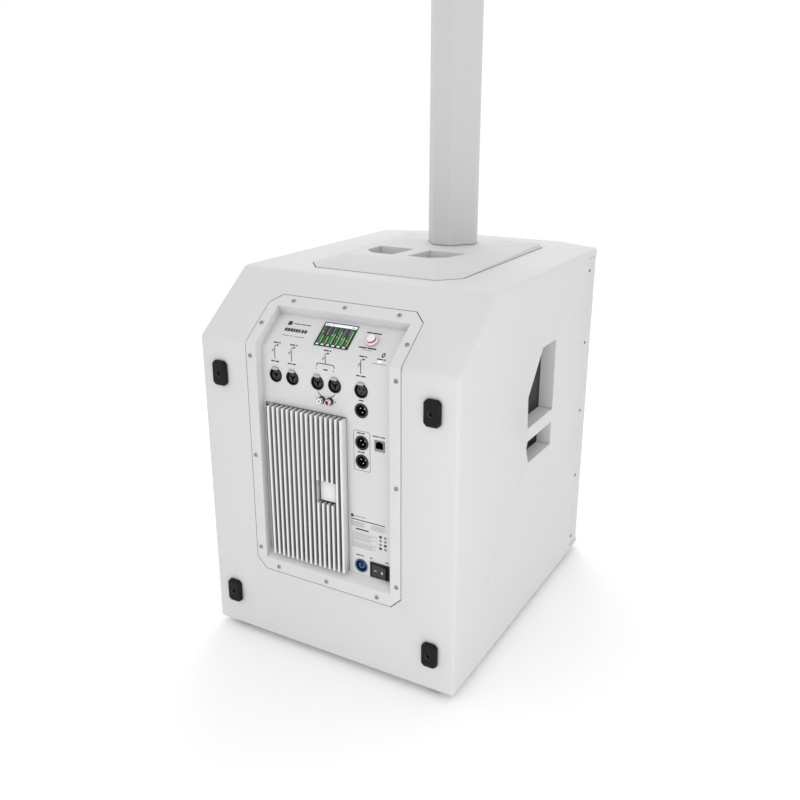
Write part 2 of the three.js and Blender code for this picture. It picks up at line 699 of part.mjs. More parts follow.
function arrayBody() {
  const low = POLE_TOP + GAP;
  const high = POLE_TOP + ARRAY_LENGTH;
  const shell = prismZ(poleOutline, low, high);
  const behind = [[33, ARRAY_BAFFLE + 6], [36.5, POLE_REAR - 37], [11, POLE_REAR - 6]];
  const hollow = prismZ(mirrored(behind), low + 8, high - 8);
  const front = block(-35.5, 35.5, ARRAY_BAFFLE - 20, ARRAY_BAFFLE, low + 6, high - 6);
  const holes = Array.from({ length: DRIVER_COUNT }, (_, i) =>
    disc(0, driverZ(i), 31, ARRAY_BAFFLE - 5, ARRAY_BAFFLE + 12, 18),
  );
  const spigot = prismZ(grown(poleOutline, -POLE_WALL - 0.6), POLE_TOP - 40, low + 2);
  return join(cut(shell, hollow, front, ...holes), spigot);
}

function arrayGrille() {
  const y = POLE_REAR - POLE_DEPTH;
  return block(-35, 35, y + 0.2, y + 2, POLE_TOP + 7, POLE_TOP + ARRAY_LENGTH - 7);
}

// A small driver on the Z axis of its own group, front up.
function arrayDriver() {
  return turned(
    [[0, -6], [9, -9], [28, 1], [31, 3], [34.5, 3], [34.5, 0.3], [30, 0.3], [17, -16], [17, -34], [0, -34]],
    16,
  );
}

// ---- assembly ----
mesh("cabinet", cabinet(), white);
mesh("front_baffle", frontBaffle(), wood);
mesh("front_grille", frontGrille(), paleGrey);
mesh("brace_board", braceBoard(), wood);

const woofer = new THREE.Group();
woofer.rotation.x = Math.PI / 2;
woofer.position.set(0, BOX_FRONT + 0.2, WOOFER_Z);
system.add(woofer);
mesh("woofer_frame", wooferFrame(), steel, woofer);
mesh("woofer_surround", wooferSurround(), rubber, woofer);
mesh("woofer_cone", wooferCone(), paper, woofer);
mesh("woofer_dust_cap", dustCap(), paper, woofer);
mesh("woofer_magnet", wooferMagnet(), steel, woofer);

for (const [name, s] of [["port_tube_left", 1], ["port_tube_right", -1]]) {
  const group = new THREE.Group();
  group.rotation.x = Math.PI / 2;
  group.position.set(s * PORT_X, BOX_FRONT, PORT_Z);
  system.add(group);
  mesh(name, portTube(), black, group);
}

mesh("amplifier_plate", amplifierPlate(), white);
mesh("heat_sink", heatSink(), castMetal);

const FACE = REAR - RECESS;
const inputBoard = boardWith(216, 62, [[-60, 10, 40, 18, 6], [40, -8, 30, 30, 9], [86, 12, 22, 22, 7]]);
mesh("input_board", inputBoard, board, panelGroup(0, 226, 446));
const powerParts = [
  [-40, 70, 44, 44, 26],
  [22, 74, 26, 26, 28],
  [-30, -10, 52, 60, 18],
  [34, -20, 30, 30, 30],
  [10, -88, 90, 34, 20],
];
const powerGroup = panelGroup(27, 214, 283);
powerGroup.rotateX(Math.PI);
mesh("power_board", boardWith(134, 244, powerParts), board, powerGroup);

COMBO_X.forEach((x, i) => mesh("combo_jack_" + (i + 1), comboJack(), black, panelGroup(x, FACE, JACK_ROW)));
mesh("mic_jack", micJack(), black, panelGroup(MIC_X, FACE, JACK_ROW));
[...COMBO_X, MIC_X].forEach((x, i) => {
  const tab = block(-TAB[0] / 2, TAB[0] / 2, -TAB[1] / 2, TAB[1] / 2, -7, 2.4);
  mesh("release_tab_" + (i + 1), tab, paleGrey, panelGroup(x, FACE, JACK_ROW + TAB_RISE));
});
OUTPUT_Z.forEach((z, i) => mesh("line_output_" + (i + 1), lineOutput(), black, panelGroup(MIC_X, FACE, z)));
mesh("phono_jack_left", phonoJack(), white, panelGroup(PHONO_X[0], FACE, PHONO_Z));
mesh("phono_jack_right", phonoJack(), white, panelGroup(PHONO_X[1], FACE, PHONO_Z));
mesh("network_jack", networkJack(), black, panelGroup(NETWORK[0], FACE, NETWORK[1]));
mesh("mains_inlet", mainsInlet(), black, panelGroup(MAINS[0], FACE, MAINS[1]));
mesh("rocker_housing", rockerHousing(), black, panelGroup(ROCKER[0], FACE, ROCKER[1]));
mesh("power_rocker", rocker(), black, panelGroup(ROCKER[0], FACE, ROCKER[1]));

const slopeFace = (x, up) => panelGroup(x, ...slopePoint(up, RECESS), TILT);
const [dw, dh] = DISPLAY.map((size) => size / 2);
mesh("display_screen", block(-dw, dw, -dh, dh, GAP, 1.2), black, slopeFace(0, DISPLAY_V));
mesh("encoder_shaft", encoderShaft(), steel, slopeFace(KNOB_X, DISPLAY_V));
mesh("control_knob", knob(), paleGrey, slopeFace(KNOB_X, DISPLAY_V));

for (const [name, s] of [["side_cup_left", 1], ["side_cup_right", -1]]) {
  const xs = (a, b) => [Math.min(s * a, s * b), Math.max(s * a, s * b)];
  const outer = block(...xs(CUP.inner, SIDE - HANDLE_WALL - GAP), CUP.y0, CUP.y1, CUP.z0, CUP.z1);
  const inner = xs(CUP.inner + 3, SIDE);
  mesh(name, cut(outer, block(...inner, CUP.y0 + 3, CUP.y1 - 3, CUP.z0 + 3, CUP.z1 - 3)), black);
}

const BUMPERS = [[177.5, 440], [-177.5, 440], [177.5, 71.5], [-177.5, 71.5]];
BUMPERS.forEach(([x, z], i) => mesh("rear_bumper_" + (i + 1), bumper(), rubber, panelGroup(x, REAR, z)));
const FEET = [[181, 257], [-181, 257], [181, -212], [-181, -212]];
FEET.forEach(([x, y], i) => mesh("foot_" + (i + 1), foot(), rubber).position.set(x, y, 0));

mesh("top_tray", topTray(), white);
mesh("pole", pole(), white);
mesh("pole_plug", polePlug(), black);
mesh("array_body", arrayBody(), white);
mesh("array_grille", arrayGrille(), paleGrey);
for (let i = 0; i < DRIVER_COUNT; i++) {
  const group = new THREE.Group();
  group.rotation.x = Math.PI / 2;
  group.position.set(0, ARRAY_BAFFLE - GAP, driverZ(i));
  system.add(group);
  mesh("array_driver_" + (i + 1), arrayDriver(), paper, group);
}

export default system;
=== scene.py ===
"""The looks of a column loudspeaker: a white bass cabinet seen from behind, with a pole and an array on it.

Metres, +Z up, origin on the floor. The grilles face -Y, the powered panel faces +Y.
"""

import math

import bmesh
import bpy
from mathutils import Matrix, Vector


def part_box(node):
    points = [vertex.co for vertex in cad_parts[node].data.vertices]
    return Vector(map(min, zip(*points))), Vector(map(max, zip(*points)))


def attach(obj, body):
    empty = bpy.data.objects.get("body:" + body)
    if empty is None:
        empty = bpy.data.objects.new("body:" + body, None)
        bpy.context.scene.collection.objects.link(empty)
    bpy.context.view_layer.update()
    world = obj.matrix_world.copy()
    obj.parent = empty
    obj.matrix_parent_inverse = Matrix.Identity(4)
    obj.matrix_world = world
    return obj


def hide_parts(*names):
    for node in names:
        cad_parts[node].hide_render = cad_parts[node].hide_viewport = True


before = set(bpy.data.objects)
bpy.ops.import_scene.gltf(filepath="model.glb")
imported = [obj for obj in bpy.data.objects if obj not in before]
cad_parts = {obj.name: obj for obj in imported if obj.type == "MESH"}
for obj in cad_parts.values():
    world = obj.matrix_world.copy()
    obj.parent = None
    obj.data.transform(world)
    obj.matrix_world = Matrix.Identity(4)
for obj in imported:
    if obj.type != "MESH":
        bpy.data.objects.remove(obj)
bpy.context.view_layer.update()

MM = 0.001
CABINET, KNOB, ROCKER = "cabinet_body", "knob", "rocker"
POLE, ARRAY, DIAPHRAGM = "pole_assembly", "array", "woofer_diaphragm"


# ---------------- places, all taken from the frame
def middle(node):
    low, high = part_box(node)
    return (low + high) / 2


CAB_LOW, CAB_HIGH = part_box("cabinet")
SIDE = CAB_HIGH.x
REAR = CAB_HIGH.y
TOP = CAB_HIGH.z
SLOPE_RISE = 87 * MM
SLOPE_RUN = 111 * MM
RECESS = 14 * MM
FACE = REAR - RECESS
BEND = Vector((0, REAR, TOP - SLOPE_RISE))
UP = Vector((0, -SLOPE_RUN, SLOPE_RISE)).normalized()
OFF = Vector((0, SLOPE_RISE, SLOPE_RUN)).normalized()


def rear_frame(x, z, y=FACE):
    """A frame on the rear face, in mm on the panel: local x to the viewer's right, y up, z out."""
    columns = Matrix(((-1, 0, 0), (0, 0, 1), (0, 1, 0))).to_4x4()
    return Matrix.Translation((x * MM, y, z * MM)) @ columns


def on_rear(node, y=FACE):
    """The rear frame at the middle of a CAD node."""
    centre = middle(node)
    return rear_frame(centre.x / MM, centre.z / MM, y)


def slope_frame(x, up, depth=RECESS):
    """The same on the sloped face, at a distance up the slope from the bend, in mm."""
    turn = Matrix(((-1, 0, 0), (0, UP.y, OFF.y), (0, UP.z, OFF.z))).to_4x4()
    place = BEND + UP * (up * MM) - OFF * depth
    return Matrix.Translation((x * MM, place.y, place.z)) @ turn


def axis_frame(place, out):
    """A frame whose z axis points along out."""
    return Matrix.Translation(place) @ out.to_track_quat("Z", "Y").to_matrix().to_4x4()


# ---------------- materials
def link(tree, a, b):
    tree.links.new(a, b)


def noise(tree, coords, scale, detail=3.0, roughness=0.55):
    node = tree.nodes.new("ShaderNodeTexNoise")
    node.inputs["Scale"].default_value = scale
    node.inputs["Detail"].default_value = detail
    node.inputs["Roughness"].default_value = roughness
    link(tree, coords, node.inputs["Vector"])
    return node.outputs["Fac"]


def remap(tree, value, low, high, start=0.3, end=0.7):
    node = tree.nodes.new("ShaderNodeMapRange")
    node.inputs["From Min"].default_value = start
    node.inputs["From Max"].default_value = end
    node.inputs["To Min"].default_value = low
    node.inputs["To Max"].default_value = high
    link(tree, value, node.inputs["Value"])
    return node.outputs["Result"]


def painted_gap_shade(tree, colour, reach, darkest):
    """Painted shade: the colour, darkened by an ambient-occlusion node where other surfaces close in on it
    within the reach.
    """
    near = tree.nodes.new("ShaderNodeAmbientOcclusion")
    near.samples = 12
    near.inputs["Distance"].default_value = reach
    mix = tree.nodes.new("ShaderNodeMix")
    mix.data_type = "RGBA"
    mix.blend_type = "MULTIPLY"
    mix.inputs[0].default_value = 1.0
    link(tree, colour, mix.inputs[6])
    link(tree, remap(tree, near.outputs["AO"], darkest, 1.0, 0.0, 0.85), mix.inputs[7])
    return mix.outputs[2]


def surface(name, colour, roughness, metallic=0.0, grain=(900, 0.00003), mottle=0.02, wear=0.03,
            specular=0.5, stretch=None, painted_shade=None):
    """A moulded, painted or metal surface. grain is the fine bump's scale and height in metres, mottle is
    the slow change of its colour, wear is how much its roughness varies. The last argument is the reach in
    metres and the darkest share of the colour, for painted shade that an ambient-occlusion node lays in
    grooves and gaps."""
    made = bpy.data.materials.new(name)
    made.use_nodes = True
    tree = made.node_tree
    shader = tree.nodes["Principled BSDF"]
    shader.inputs["Metallic"].default_value = metallic
    shader.inputs["Specular IOR Level"].default_value = specular
    coords = tree.nodes.new("ShaderNodeTexCoord").outputs["Object"]
    if stretch:
        mapping = tree.nodes.new("ShaderNodeMapping")
        mapping.inputs["Scale"].default_value = stretch
        link(tree, coords, mapping.inputs["Vector"])
        coords = mapping.outputs["Vector"]
    ramp = tree.nodes.new("ShaderNodeValToRGB")
    for element, position, share in zip(ramp.color_ramp.elements, (0.3, 0.7), (1 - mottle, 1 + mottle)):
        element.position = position
        element.color = [min(1, c * share) for c in colour] + [1]
    link(tree, noise(tree, coords, 9, 4), ramp.inputs["Fac"])
    # painted shade: where it is asked for, the base colour is darkened in grooves and gaps
    shown = painted_gap_shade(tree, ramp.outputs["Color"], *painted_shade) if painted_shade else ramp.outputs["Color"]
    link(tree, shown, shader.inputs["Base Color"])
    worn = remap(tree, noise(tree, coords, 45, 5), roughness - wear, roughness + wear)
    link(tree, worn, shader.inputs["Roughness"])
    bump = tree.nodes.new("ShaderNodeBump")
    bump.inputs["Strength"].default_value = 1.0
    bump.inputs["Distance"].default_value = grain[1]
    link(tree, noise(tree, coords, grain[0], 2), bump.inputs["Height"])
    link(tree, bump.outputs["Normal"], shader.inputs["Normal"])
    return made


def plywood_material():
    """Layered wood: stretched noise for the grain, and thin darker glue lines."""
    return surface("bare_plywood", (0.50, 0.35, 0.20), 0.75, grain=(300, 0.00008), mottle=0.16,
                   stretch=(1.0, 1.0, 8.0))


def woven_material():
    """Pressed fibre, as loudspeaker cones are made of."""
    return surface("pressed_fibre", (0.035, 0.035, 0.037), 0.85, grain=(1400, 0.00012), mottle=0.3)


def moulding(name, colour, roughness, mottle=0.05, **extra):
    """A fine-grained plastic part."""
    return surface(name, colour, roughness, grain=(1500, 0.00002), mottle=mottle, **extra)


def lit_material(name, colour, strength):
    """A lit stroke on the display, slightly uneven like a row of pixels."""
    made = surface(name, colour, 0.35, grain=(2500, 0.000005), mottle=0.12)
    shader = made.node_tree.nodes["Principled BSDF"]
    shader.inputs["Emission Color"].default_value = (*colour, 1)
    shader.inputs["Emission Strength"].default_value = strength
    return made


WHITE = (0.625, 0.625, 0.628)
PALE = (0.59, 0.59, 0.595)
BLACK = (0.008, 0.008, 0.009)
M = {
    # Painted shade: the last argument of the cabinet, tray and plate surfaces darkens their colour in seams,
    # wells and recesses.
    "cabinet": surface("textured_white_paint", WHITE, 0.62, grain=(620, 0.00009), mottle=0.006,
                       painted_shade=(0.006, 0.35)),
    "tray": surface("white_moulding", (0.61, 0.61, 0.613), 0.6, grain=(1500, 0.00003), mottle=0.006,
                    specular=0.2, painted_shade=(0.010, 0.6)),
    "plate": surface("white_powder_coat", WHITE, 0.42, grain=(1300, 0.00003), mottle=0.005,
                     painted_shade=(0.018, 0.6)),
    "grille": surface("white_grille_coat", PALE, 0.5, grain=(1600, 0.00002), mottle=0.01),
    "column": surface("white_satin_extrusion", (0.57, 0.57, 0.575), 0.5, grain=(1100, 0.000012),
                      mottle=0.006, specular=0.3, stretch=(1, 1, 0.12)),
    # Painted shade: the colour falls to a tenth deep between the fins, so the gaps are painted dark.
    "sink": surface("painted_casting", (0.76, 0.76, 0.763), 0.45, grain=(800, 0.00005), mottle=0.01,
                    painted_shade=(0.030, 0.10)),
    "wood": plywood_material(),
    "casting": surface("black_casting", (0.03, 0.03, 0.032), 0.55, grain=(500, 0.00012), mottle=0.15),
    "surround": surface("soft_black_rubber", (0.018, 0.018, 0.019), 0.7, grain=(1200, 0.00003), mottle=0.1),
    "fibre": woven_material(),
    "board": surface("green_laminate", (0.02, 0.13, 0.05), 0.4, grain=(900, 0.00004), mottle=0.2),
    "inner": surface("grey_inner_moulding", (0.19, 0.19, 0.193), 0.6, grain=(900, 0.00006), mottle=0.06),
    "port": surface("black_port_moulding", (0.03, 0.03, 0.032), 0.6, grain=(900, 0.00006), mottle=0.08),
    "black": surface("satin_black_moulding", BLACK, 0.42, grain=(1800, 0.00002), mottle=0.12, specular=0.3),
    "charcoal": surface("charcoal_moulding", (0.034, 0.034, 0.036), 0.5, grain=(1600, 0.00002), mottle=0.1,
                        specular=0.35),
    "rubber": surface("black_bumper_rubber", (0.004, 0.004, 0.0045), 0.6, grain=(1000, 0.00005), mottle=0.15,
                      specular=0.22),
    "nickel": surface("nickel_plate", (0.86, 0.86, 0.87), 0.26, metallic=1.0, grain=(1500, 0.00001)),
    # Painted shade: the screw heads' sockets are darkened by the occlusion node.
    "zinc": surface("zinc_screw_steel", (0.36, 0.36, 0.37), 0.36, metallic=1.0, grain=(1800, 0.00002),
                    mottle=0.08, painted_shade=(0.0016, 0.08)),
    "gold": surface("gold_plated_contact", (0.85, 0.62, 0.28), 0.25, metallic=1.0, grain=(1500, 0.00001)),
    "tab": moulding("grey_tab_moulding", (0.42, 0.42, 0.43), 0.45),
    "socket_grey": moulding("grey_socket_moulding", (0.24, 0.24, 0.25), 0.5),
    "blue": moulding("blue_inlet_moulding", (0.035, 0.115, 0.27), 0.4, 0.06),
    "pale_blue": moulding("pale_blue_moulding", (0.08, 0.15, 0.28), 0.4, 0.06),
    "red": moulding("red_moulding", (0.42, 0.012, 0.022), 0.4),
    "knob": moulding("soft_white_knob", (0.76, 0.76, 0.76), 0.5, 0.01),
    "ink": surface("dark_panel_ink", (0.022, 0.022, 0.024), 0.6, grain=(2500, 0.000004), mottle=0.08),
    "pale_ink": surface("pale_panel_ink", (0.24, 0.24, 0.25), 0.6, grain=(2500, 0.000004), mottle=0.05),
    "glass": surface("display_glass", (0.012, 0.013, 0.016), 0.16, grain=(60, 0.000002), mottle=0.1,
                     specular=0.25),
    "green": lit_material("display_green", (0.12, 0.60, 0.10), 0.30),
    "leaf": lit_material("display_dark_green", (0.03, 0.16, 0.04), 0.20),
    "brown": lit_material("display_brown", (0.10, 0.040, 0.022), 0.15),
    "slate": lit_material("display_slate", (0.11, 0.10, 0.12), 0.15),
    "pixel": lit_material("display_white", (0.80, 0.83, 0.88), 0.25),
    "lamp": lit_material("small_white_lamp", (0.90, 0.96, 0.94), 0.9),
}


# ---------------- mesh tools
def face_outward(bm):
    bmesh.ops.recalc_face_normals(bm, faces=bm.faces)


def add_object(name, data):
    made = bpy.data.objects.new(name, data)
    bpy.context.scene.collection.objects.link(made)
    return made


def new_piece(name, bm, materials, smooth=False):
    mesh = bpy.data.meshes.new(name)
    bm.normal_update()
    bm.to_mesh(mesh)
    bm.free()
    for key in [materials] if isinstance(materials, str) else materials:
        mesh.materials.append(M[key])
    if smooth:
        mesh.polygons.foreach_set("use_smooth", [True] * len(mesh.polygons))
    return add_object(name, mesh)


def place(piece, body, slot, *nodes):
    """Rides the piece on a body and hides the CAD nodes it stands for. The slot is not used."""
    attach(piece, body)
    if nodes:
        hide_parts(*nodes)
    return piece


def apply_modifiers(piece):
    bpy.context.view_layer.update()
    shown = piece.evaluated_get(bpy.context.evaluated_depsgraph_get())
    old = piece.data
    piece.data = bpy.data.meshes.new_from_object(shown)
    piece.modifiers.clear()
    bpy.data.meshes.remove(old)
    return piece


def bevel(piece, width, segments=2, angle=30):
    """Rounds the piece's sharp edges, keeping its flat faces flat."""
    piece.data.polygons.foreach_set("use_smooth", [True] * len(piece.data.polygons))
    made = piece.modifiers.new("round", "BEVEL")
    made.width = width
    made.segments = segments
    made.limit_method = "ANGLE"
    made.angle_limit = math.radians(angle)
    made.harden_normals = True
    made.miter_outer = "MITER_ARC"
    apply_modifiers(piece)
    return piece


def shade_smooth(piece, angle=35):
    """Smooth shading that keeps edges sharper than the angle."""
    piece.data.polygons.foreach_set("use_smooth", [True] * len(piece.data.polygons))
    piece.data.set_sharp_from_angle(angle=math.radians(angle))


def thickened(piece, sheet):
    """Gives an open sheet its thickness, half of it to each side."""
    made = piece.modifiers.new("sheet", "SOLIDIFY")
    made.thickness = sheet
    made.offset = 0
    return apply_modifiers(piece)


def cad_copy(node):
    """The CAD node's mesh in a new bmesh, with its flat faces whole again."""
    bm = bmesh.new()
    bm.from_mesh(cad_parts[node].data)
    bmesh.ops.remove_doubles(bm, verts=bm.verts, dist=0.00002)
    bmesh.ops.dissolve_limit(bm, angle_limit=math.radians(0.6), verts=bm.verts, edges=bm.edges)
    return bm


def softened(node, body, slot, material, width, segments=2, angle=30):
    piece = new_piece(node + "_shell", cad_copy(node), material)
    bevel(piece, width, segments, angle)
    return place(piece, body, slot, node)


def ring_of(bm, radii, height):
    """A ring of vertices at a height in mm, each at its own radius."""
    ring = []
    for i, radius in enumerate(radii):
        a = 2 * math.pi * i / len(radii)
        ring.append(bm.verts.new((radius * MM * math.cos(a), radius * MM * math.sin(a), height * MM)))
    return ring


def skin(bm, rings, material_index=0):
    """Faces from ring to ring, and from the last to the first where neither is a point on the axis."""
    segments = max(len(ring) for ring in rings)
    pairs = list(zip(rings, rings[1:]))
    if len(rings[0]) > 1 and len(rings[-1]) > 1:
        pairs.append((rings[-1], rings[0]))
    for low, high in pairs:
        for i in range(segments):
            j = (i + 1) % segments
            face = [low[i % len(low)], low[j % len(low)], high[j % len(high)], high[i % len(high)]]
            unique = list(dict.fromkeys(face))
            if len(unique) > 2:
                bm.faces.new(unique).material_index = material_index
    return bm


def lathe(points, segments=64, material_index=0, bm=None):
    """A turned piece on the local z axis from (radius, height) points in mm, closed on the axis or itself."""
    bm = bm or bmesh.new()
    rings = []
    for radius, height in points:
        on_axis = radius < 1e-6
        rings.append(ring_of(bm, [0.0] if on_axis else [radius] * segments, height))
    return skin(bm, rings, material_index)


def slab(bm, x0, x1, y0, y1, z0, z1, material_index=0, radius=0.0, steps=3):
    """A box in mm, or a plate with rounded corners where radius is given."""
    if radius <= 0:
        outline = [(x0, y0), (x1, y0), (x1, y1), (x0, y1)]
    else:
        outline = []
        corners = [(x1 - radius, y0 + radius, -90), (x1 - radius, y1 - radius, 0),
                   (x0 + radius, y1 - radius, 90), (x0 + radius, y0 + radius, 180)]
        for cx, cy, first in corners:
            for i in range(steps + 1):
                a = math.radians(first + 90 * i / steps)
                outline.append((cx + radius * math.cos(a), cy + radius * math.sin(a)))
    return prism(bm, outline, z0, z1, material_index)


def prism(bm, outline, z0, z1, material_index=0):
    """A plate from a counter-clockwise outline in mm."""
    low = [bm.verts.new((x * MM, y * MM, z0 * MM)) for x, y in outline]
    high = [bm.verts.new((x * MM, y * MM, z1 * MM)) for x, y in outline]
    faces = [bm.faces.new(list(reversed(low))), bm.faces.new(high)]
    for i in range(len(outline)):
        j = (i + 1) % len(outline)
        faces.append(bm.faces.new([low[i], low[j], high[j], high[i]]))
    for face in faces:
        face.material_index = material_index
    return bm


def stroke(bm, points, width, z0, z1, material_index=0):
    """A line of even width through the points, in mm, mitred at its bends."""
    half = width / 2
    left, right = [], []
    for i, (x, y) in enumerate(points):
        before = Vector(points[max(i - 1, 0)])
        after = Vector(points[min(i + 1, len(points) - 1)])
        here = Vector((x, y))
        along_in = (here - before).normalized() if i else (after - here).normalized()
        along_out = (after - here).normalized() if i < len(points) - 1 else along_in
        normal = Vector((-along_in.y - along_out.y, along_in.x + along_out.x)).normalized()
        reach = half / max(0.5, normal.dot(Vector((-along_in.y, along_in.x))))
        left.append((x + normal.x * reach, y + normal.y * reach))
        right.append((x - normal.x * reach, y - normal.y * reach))
    for i in range(len(points) - 1):
        prism(bm, [right[i], right[i + 1], left[i + 1], left[i]], z0, z1, material_index)
    return bm


def turned_round(bm, matrix):
    """Moves a bmesh made in its own frame to its place; a mirroring frame turns the faces back."""
    bm.transform(matrix)
    if matrix.determinant() < 0:
        bmesh.ops.reverse_faces(bm, faces=bm.faces)
    return bm


def cut_away(bm, cutters):
    """The bmesh less each cutter."""
    body = new_piece("cut_body", bm, "black")
    tools = []
    for cutter in cutters:
        tool = new_piece("cut_tool", cutter, "black")
        tools.append(tool)
        made = body.modifiers.new("cut", "BOOLEAN")
        made.operation = "DIFFERENCE"
        made.solver = "EXACT"
        made.object = tool
    apply_modifiers(body)
    result = bmesh.new()
    result.from_mesh(body.data)
    for used in [body, *tools]:
        mesh = used.data
        bpy.data.objects.remove(used)
        bpy.data.meshes.remove(mesh)
    return result


# ---------------- cabinet
OUTER_RADIUS = 6 * MM
LIP_X = 136.5 * MM  # the front lip's slanting facets run from here on the front
LIP_SIDE_Y = -253.5 * MM  # to here on the sides


def on_outer_planes(point):
    """Which of the cabinet's outer planes a point lies on."""
    slope = OFF.dot(point - BEND)
    lip_side = Vector((SIDE, LIP_SIDE_Y, 0))
    along = Vector((LIP_X, CAB_LOW.y, 0)) - lip_side
    facet = Vector((abs(point.x), point.y, 0)) - lip_side
    distances = {
        "left": point.x - SIDE,
        "right": point.x + SIDE,
        "top": point.z - TOP,
        "bottom": point.z - CAB_LOW.z,
        "rear": point.y - REAR,
        "slope": slope,
        "front": point.y - CAB_LOW.y,
        "facet": (facet.x * along.y - facet.y * along.x) / along.length,
    }
    found = {name for name, d in distances.items() if abs(d) < 0.00005}
    return {name + str(point.x > 0) if name == "facet" else name for name in found}


def make_cabinet():
    bm = cad_copy("cabinet")
    chosen = []
    for edge in bm.edges:
        shared = on_outer_planes(edge.verts[0].co) & on_outer_planes(edge.verts[1].co)
        if len(shared) > 1 and edge.calc_face_angle(0) > math.radians(12):
            chosen.append(edge)
    bmesh.ops.bevel(bm, geom=chosen, offset=OUTER_RADIUS, segments=5, profile=0.5, affect="EDGES",
                    clamp_overlap=True)
    # the grip openings run through many-sided faces, which stay open only as triangles
    bmesh.ops.triangulate(bm, faces=[face for face in bm.faces if len(face.verts) > 4])
    piece = new_piece("cabinet_shell", bm, "cabinet")
    bevel(piece, 0.9 * MM, 2, 40)
    place(piece, CABINET, "cabinet_paint", "cabinet")


# ---------------- screws
def screw_bmesh(radius, rise, washer):
    """A domed head of that rise, in mm, with a six-lobed socket; the washer is a thin ring under it."""
    bm = bmesh.new()
    steps = 36
    lobe = [0.44 * radius * (1 + 0.13 * math.cos(6 * 2 * math.pi * i / steps)) for i in range(steps)]
    made = [([r * 0.96 for r in lobe], 0.15), (lobe, 1.0)]
    profile = [(0.62, 0.93), (0.82, 0.77), (0.94, 0.52), (1.0, 0.22), (1.0, 0.0)]
    made += [([radius * share] * steps, height) for share, height in profile]
    circles = [ring_of(bm, radii, height * rise) for radii, height in made]
    for inner, outer in zip(circles, circles[1:]):
        for i in range(steps):
            j = (i + 1) % steps
            bm.faces.new([inner[i], outer[i], outer[j], inner[j]])
    bm.faces.new(circles[0])
    bm.faces.new(list(reversed(circles[-1])))
    if washer:
        ring = [(radius * 0.9, 0.0), (radius * 1.28, 0.0), (radius * 1.28, 0.35), (radius * 0.9, 0.45)]
        lathe(ring, 36, 0, bm)
    return bm


def add_screws(name, frames, body, slot, material, radius=3.3, rise=1.62, washer=True):
    """One object holding the screws of one group, each at a frame whose z axis points out."""
    whole = bmesh.new()
    for matrix in frames:
        one = turned_round(screw_bmesh(radius, rise, washer), matrix)
        mesh = bpy.data.meshes.new("one_screw")
        one.to_mesh(mesh)
        one.free()
        whole.from_mesh(mesh)
        bpy.data.meshes.remove(mesh)
    face_outward(whole)
    piece = new_piece(name, whole, material)
    bevel(piece, 0.1 * MM, 1, 40)
    return place(piece, body, slot)


PLATE_SCREW_X = 121.5
PLATE_SCREW_Z = (473.9, 318.6, 163.9)
GRILLE_SCREW_Z = (546, 419, 293, 166, 40)
GRILLE_INSET = 0.7 * MM  # the grille's sheet lies this far inside the cabinet's sides, under its screws


def make_screws():
    proud = 0.05 * MM
    top_row, low_row = 84, 137.6
    frames = []
    for s in (1, -1):
        for z in PLATE_SCREW_Z:
            frames.append(rear_frame(s * PLATE_SCREW_X, z, REAR + proud))
        frames.append(slope_frame(s * PLATE_SCREW_X, 38, -proud))
        frames.append(slope_frame(s * 89, top_row, -proud))
    for x in (88.5, 0, -88.5):
        frames.append(rear_frame(x, low_row, REAR + proud))
    frames.append(slope_frame(0, top_row, -proud))
    add_screws("plate_screws", frames, CABINET, "jack_metal", "zinc", 2.7)
    flange_x = SIDE - GRILLE_INSET
    frames = []
    for s in (1, -1):
        for z in GRILLE_SCREW_Z:
            frames.append(axis_frame(Vector((s * flange_x, -218 * MM, z * MM)), Vector((s, 0, 0))))
    add_screws("grille_screws", frames, CABINET, "jack_metal", "charcoal", 2.4, 0.6, False)


# ---------------- perforated grilles
GRILLE_SHEET = 1.2 * MM


def path_marks(path):
    """How far along the path each of its points lies."""
    marks = [0.0]
    for a, b in zip(path, path[1:]):
        marks.append(marks[-1] + (Vector(b) - Vector(a)).length)
    return marks


def perforated(name, path, z0, z1, pitch, hole, solid_ends):
    """A sheet of round holes in staggered rows, folded along a path of (x, y) points in metres.

    Each hole sits in a hexagonal cell, so the cells tile the sheet. solid_ends is the length of plain sheet
    at the path's two ends."""
    lengths = path_marks(path)
    total = lengths[-1]

    def fold(u, z):
        u = min(max(u, 0.0), total)
        k = max(i for i in range(len(path) - 1) if lengths[i] <= u)
        t = (u - lengths[k]) / (lengths[k + 1] - lengths[k])
        spot = Vector(path[k]).lerp(Vector(path[k + 1]), t)
        return Vector((spot.x, spot.y, z))

    bm = bmesh.new()
    wide = total - 2 * solid_ends
    columns = max(1, round(wide / pitch))
    step = wide / columns
    row_count = max(2, round((z1 - z0) / (pitch * math.sqrt(3) / 2)))
    rise = (z1 - z0) / (row_count + 1 / 3)
    tip = rise * 2 / 3
    corners = 6
    for row in range(row_count):
        shift = step / 2 if row % 2 else 0.0
        zc = z0 + tip + row * rise
        for column in range(columns - row % 2):
            uc = solid_ends + step * (column + 0.5) + shift
            outer, inner = [], []
            for i in range(corners):
                a = math.radians(30 + 60 * i)
                v = tip * math.sin(a)
                outer.append((uc + step / 2 * round(math.cos(a) / math.cos(math.radians(30))), zc + v))
                inner.append((uc + hole / 2 * math.cos(a), zc + hole / 2 * math.sin(a)))
            out_verts = [bm.verts.new(fold(*p)) for p in outer]
            in_verts = [bm.verts.new(fold(*p)) for p in inner]
            for i in range(corners):
                j = (i + 1) % corners
                bm.faces.new([out_verts[i], out_verts[j], in_verts[j], in_verts[i]])
    bmesh.ops.remove_doubles(bm, verts=bm.verts, dist=0.00002)
    return thickened(new_piece(name, bm, "grille"), GRILLE_SHEET), fold, total


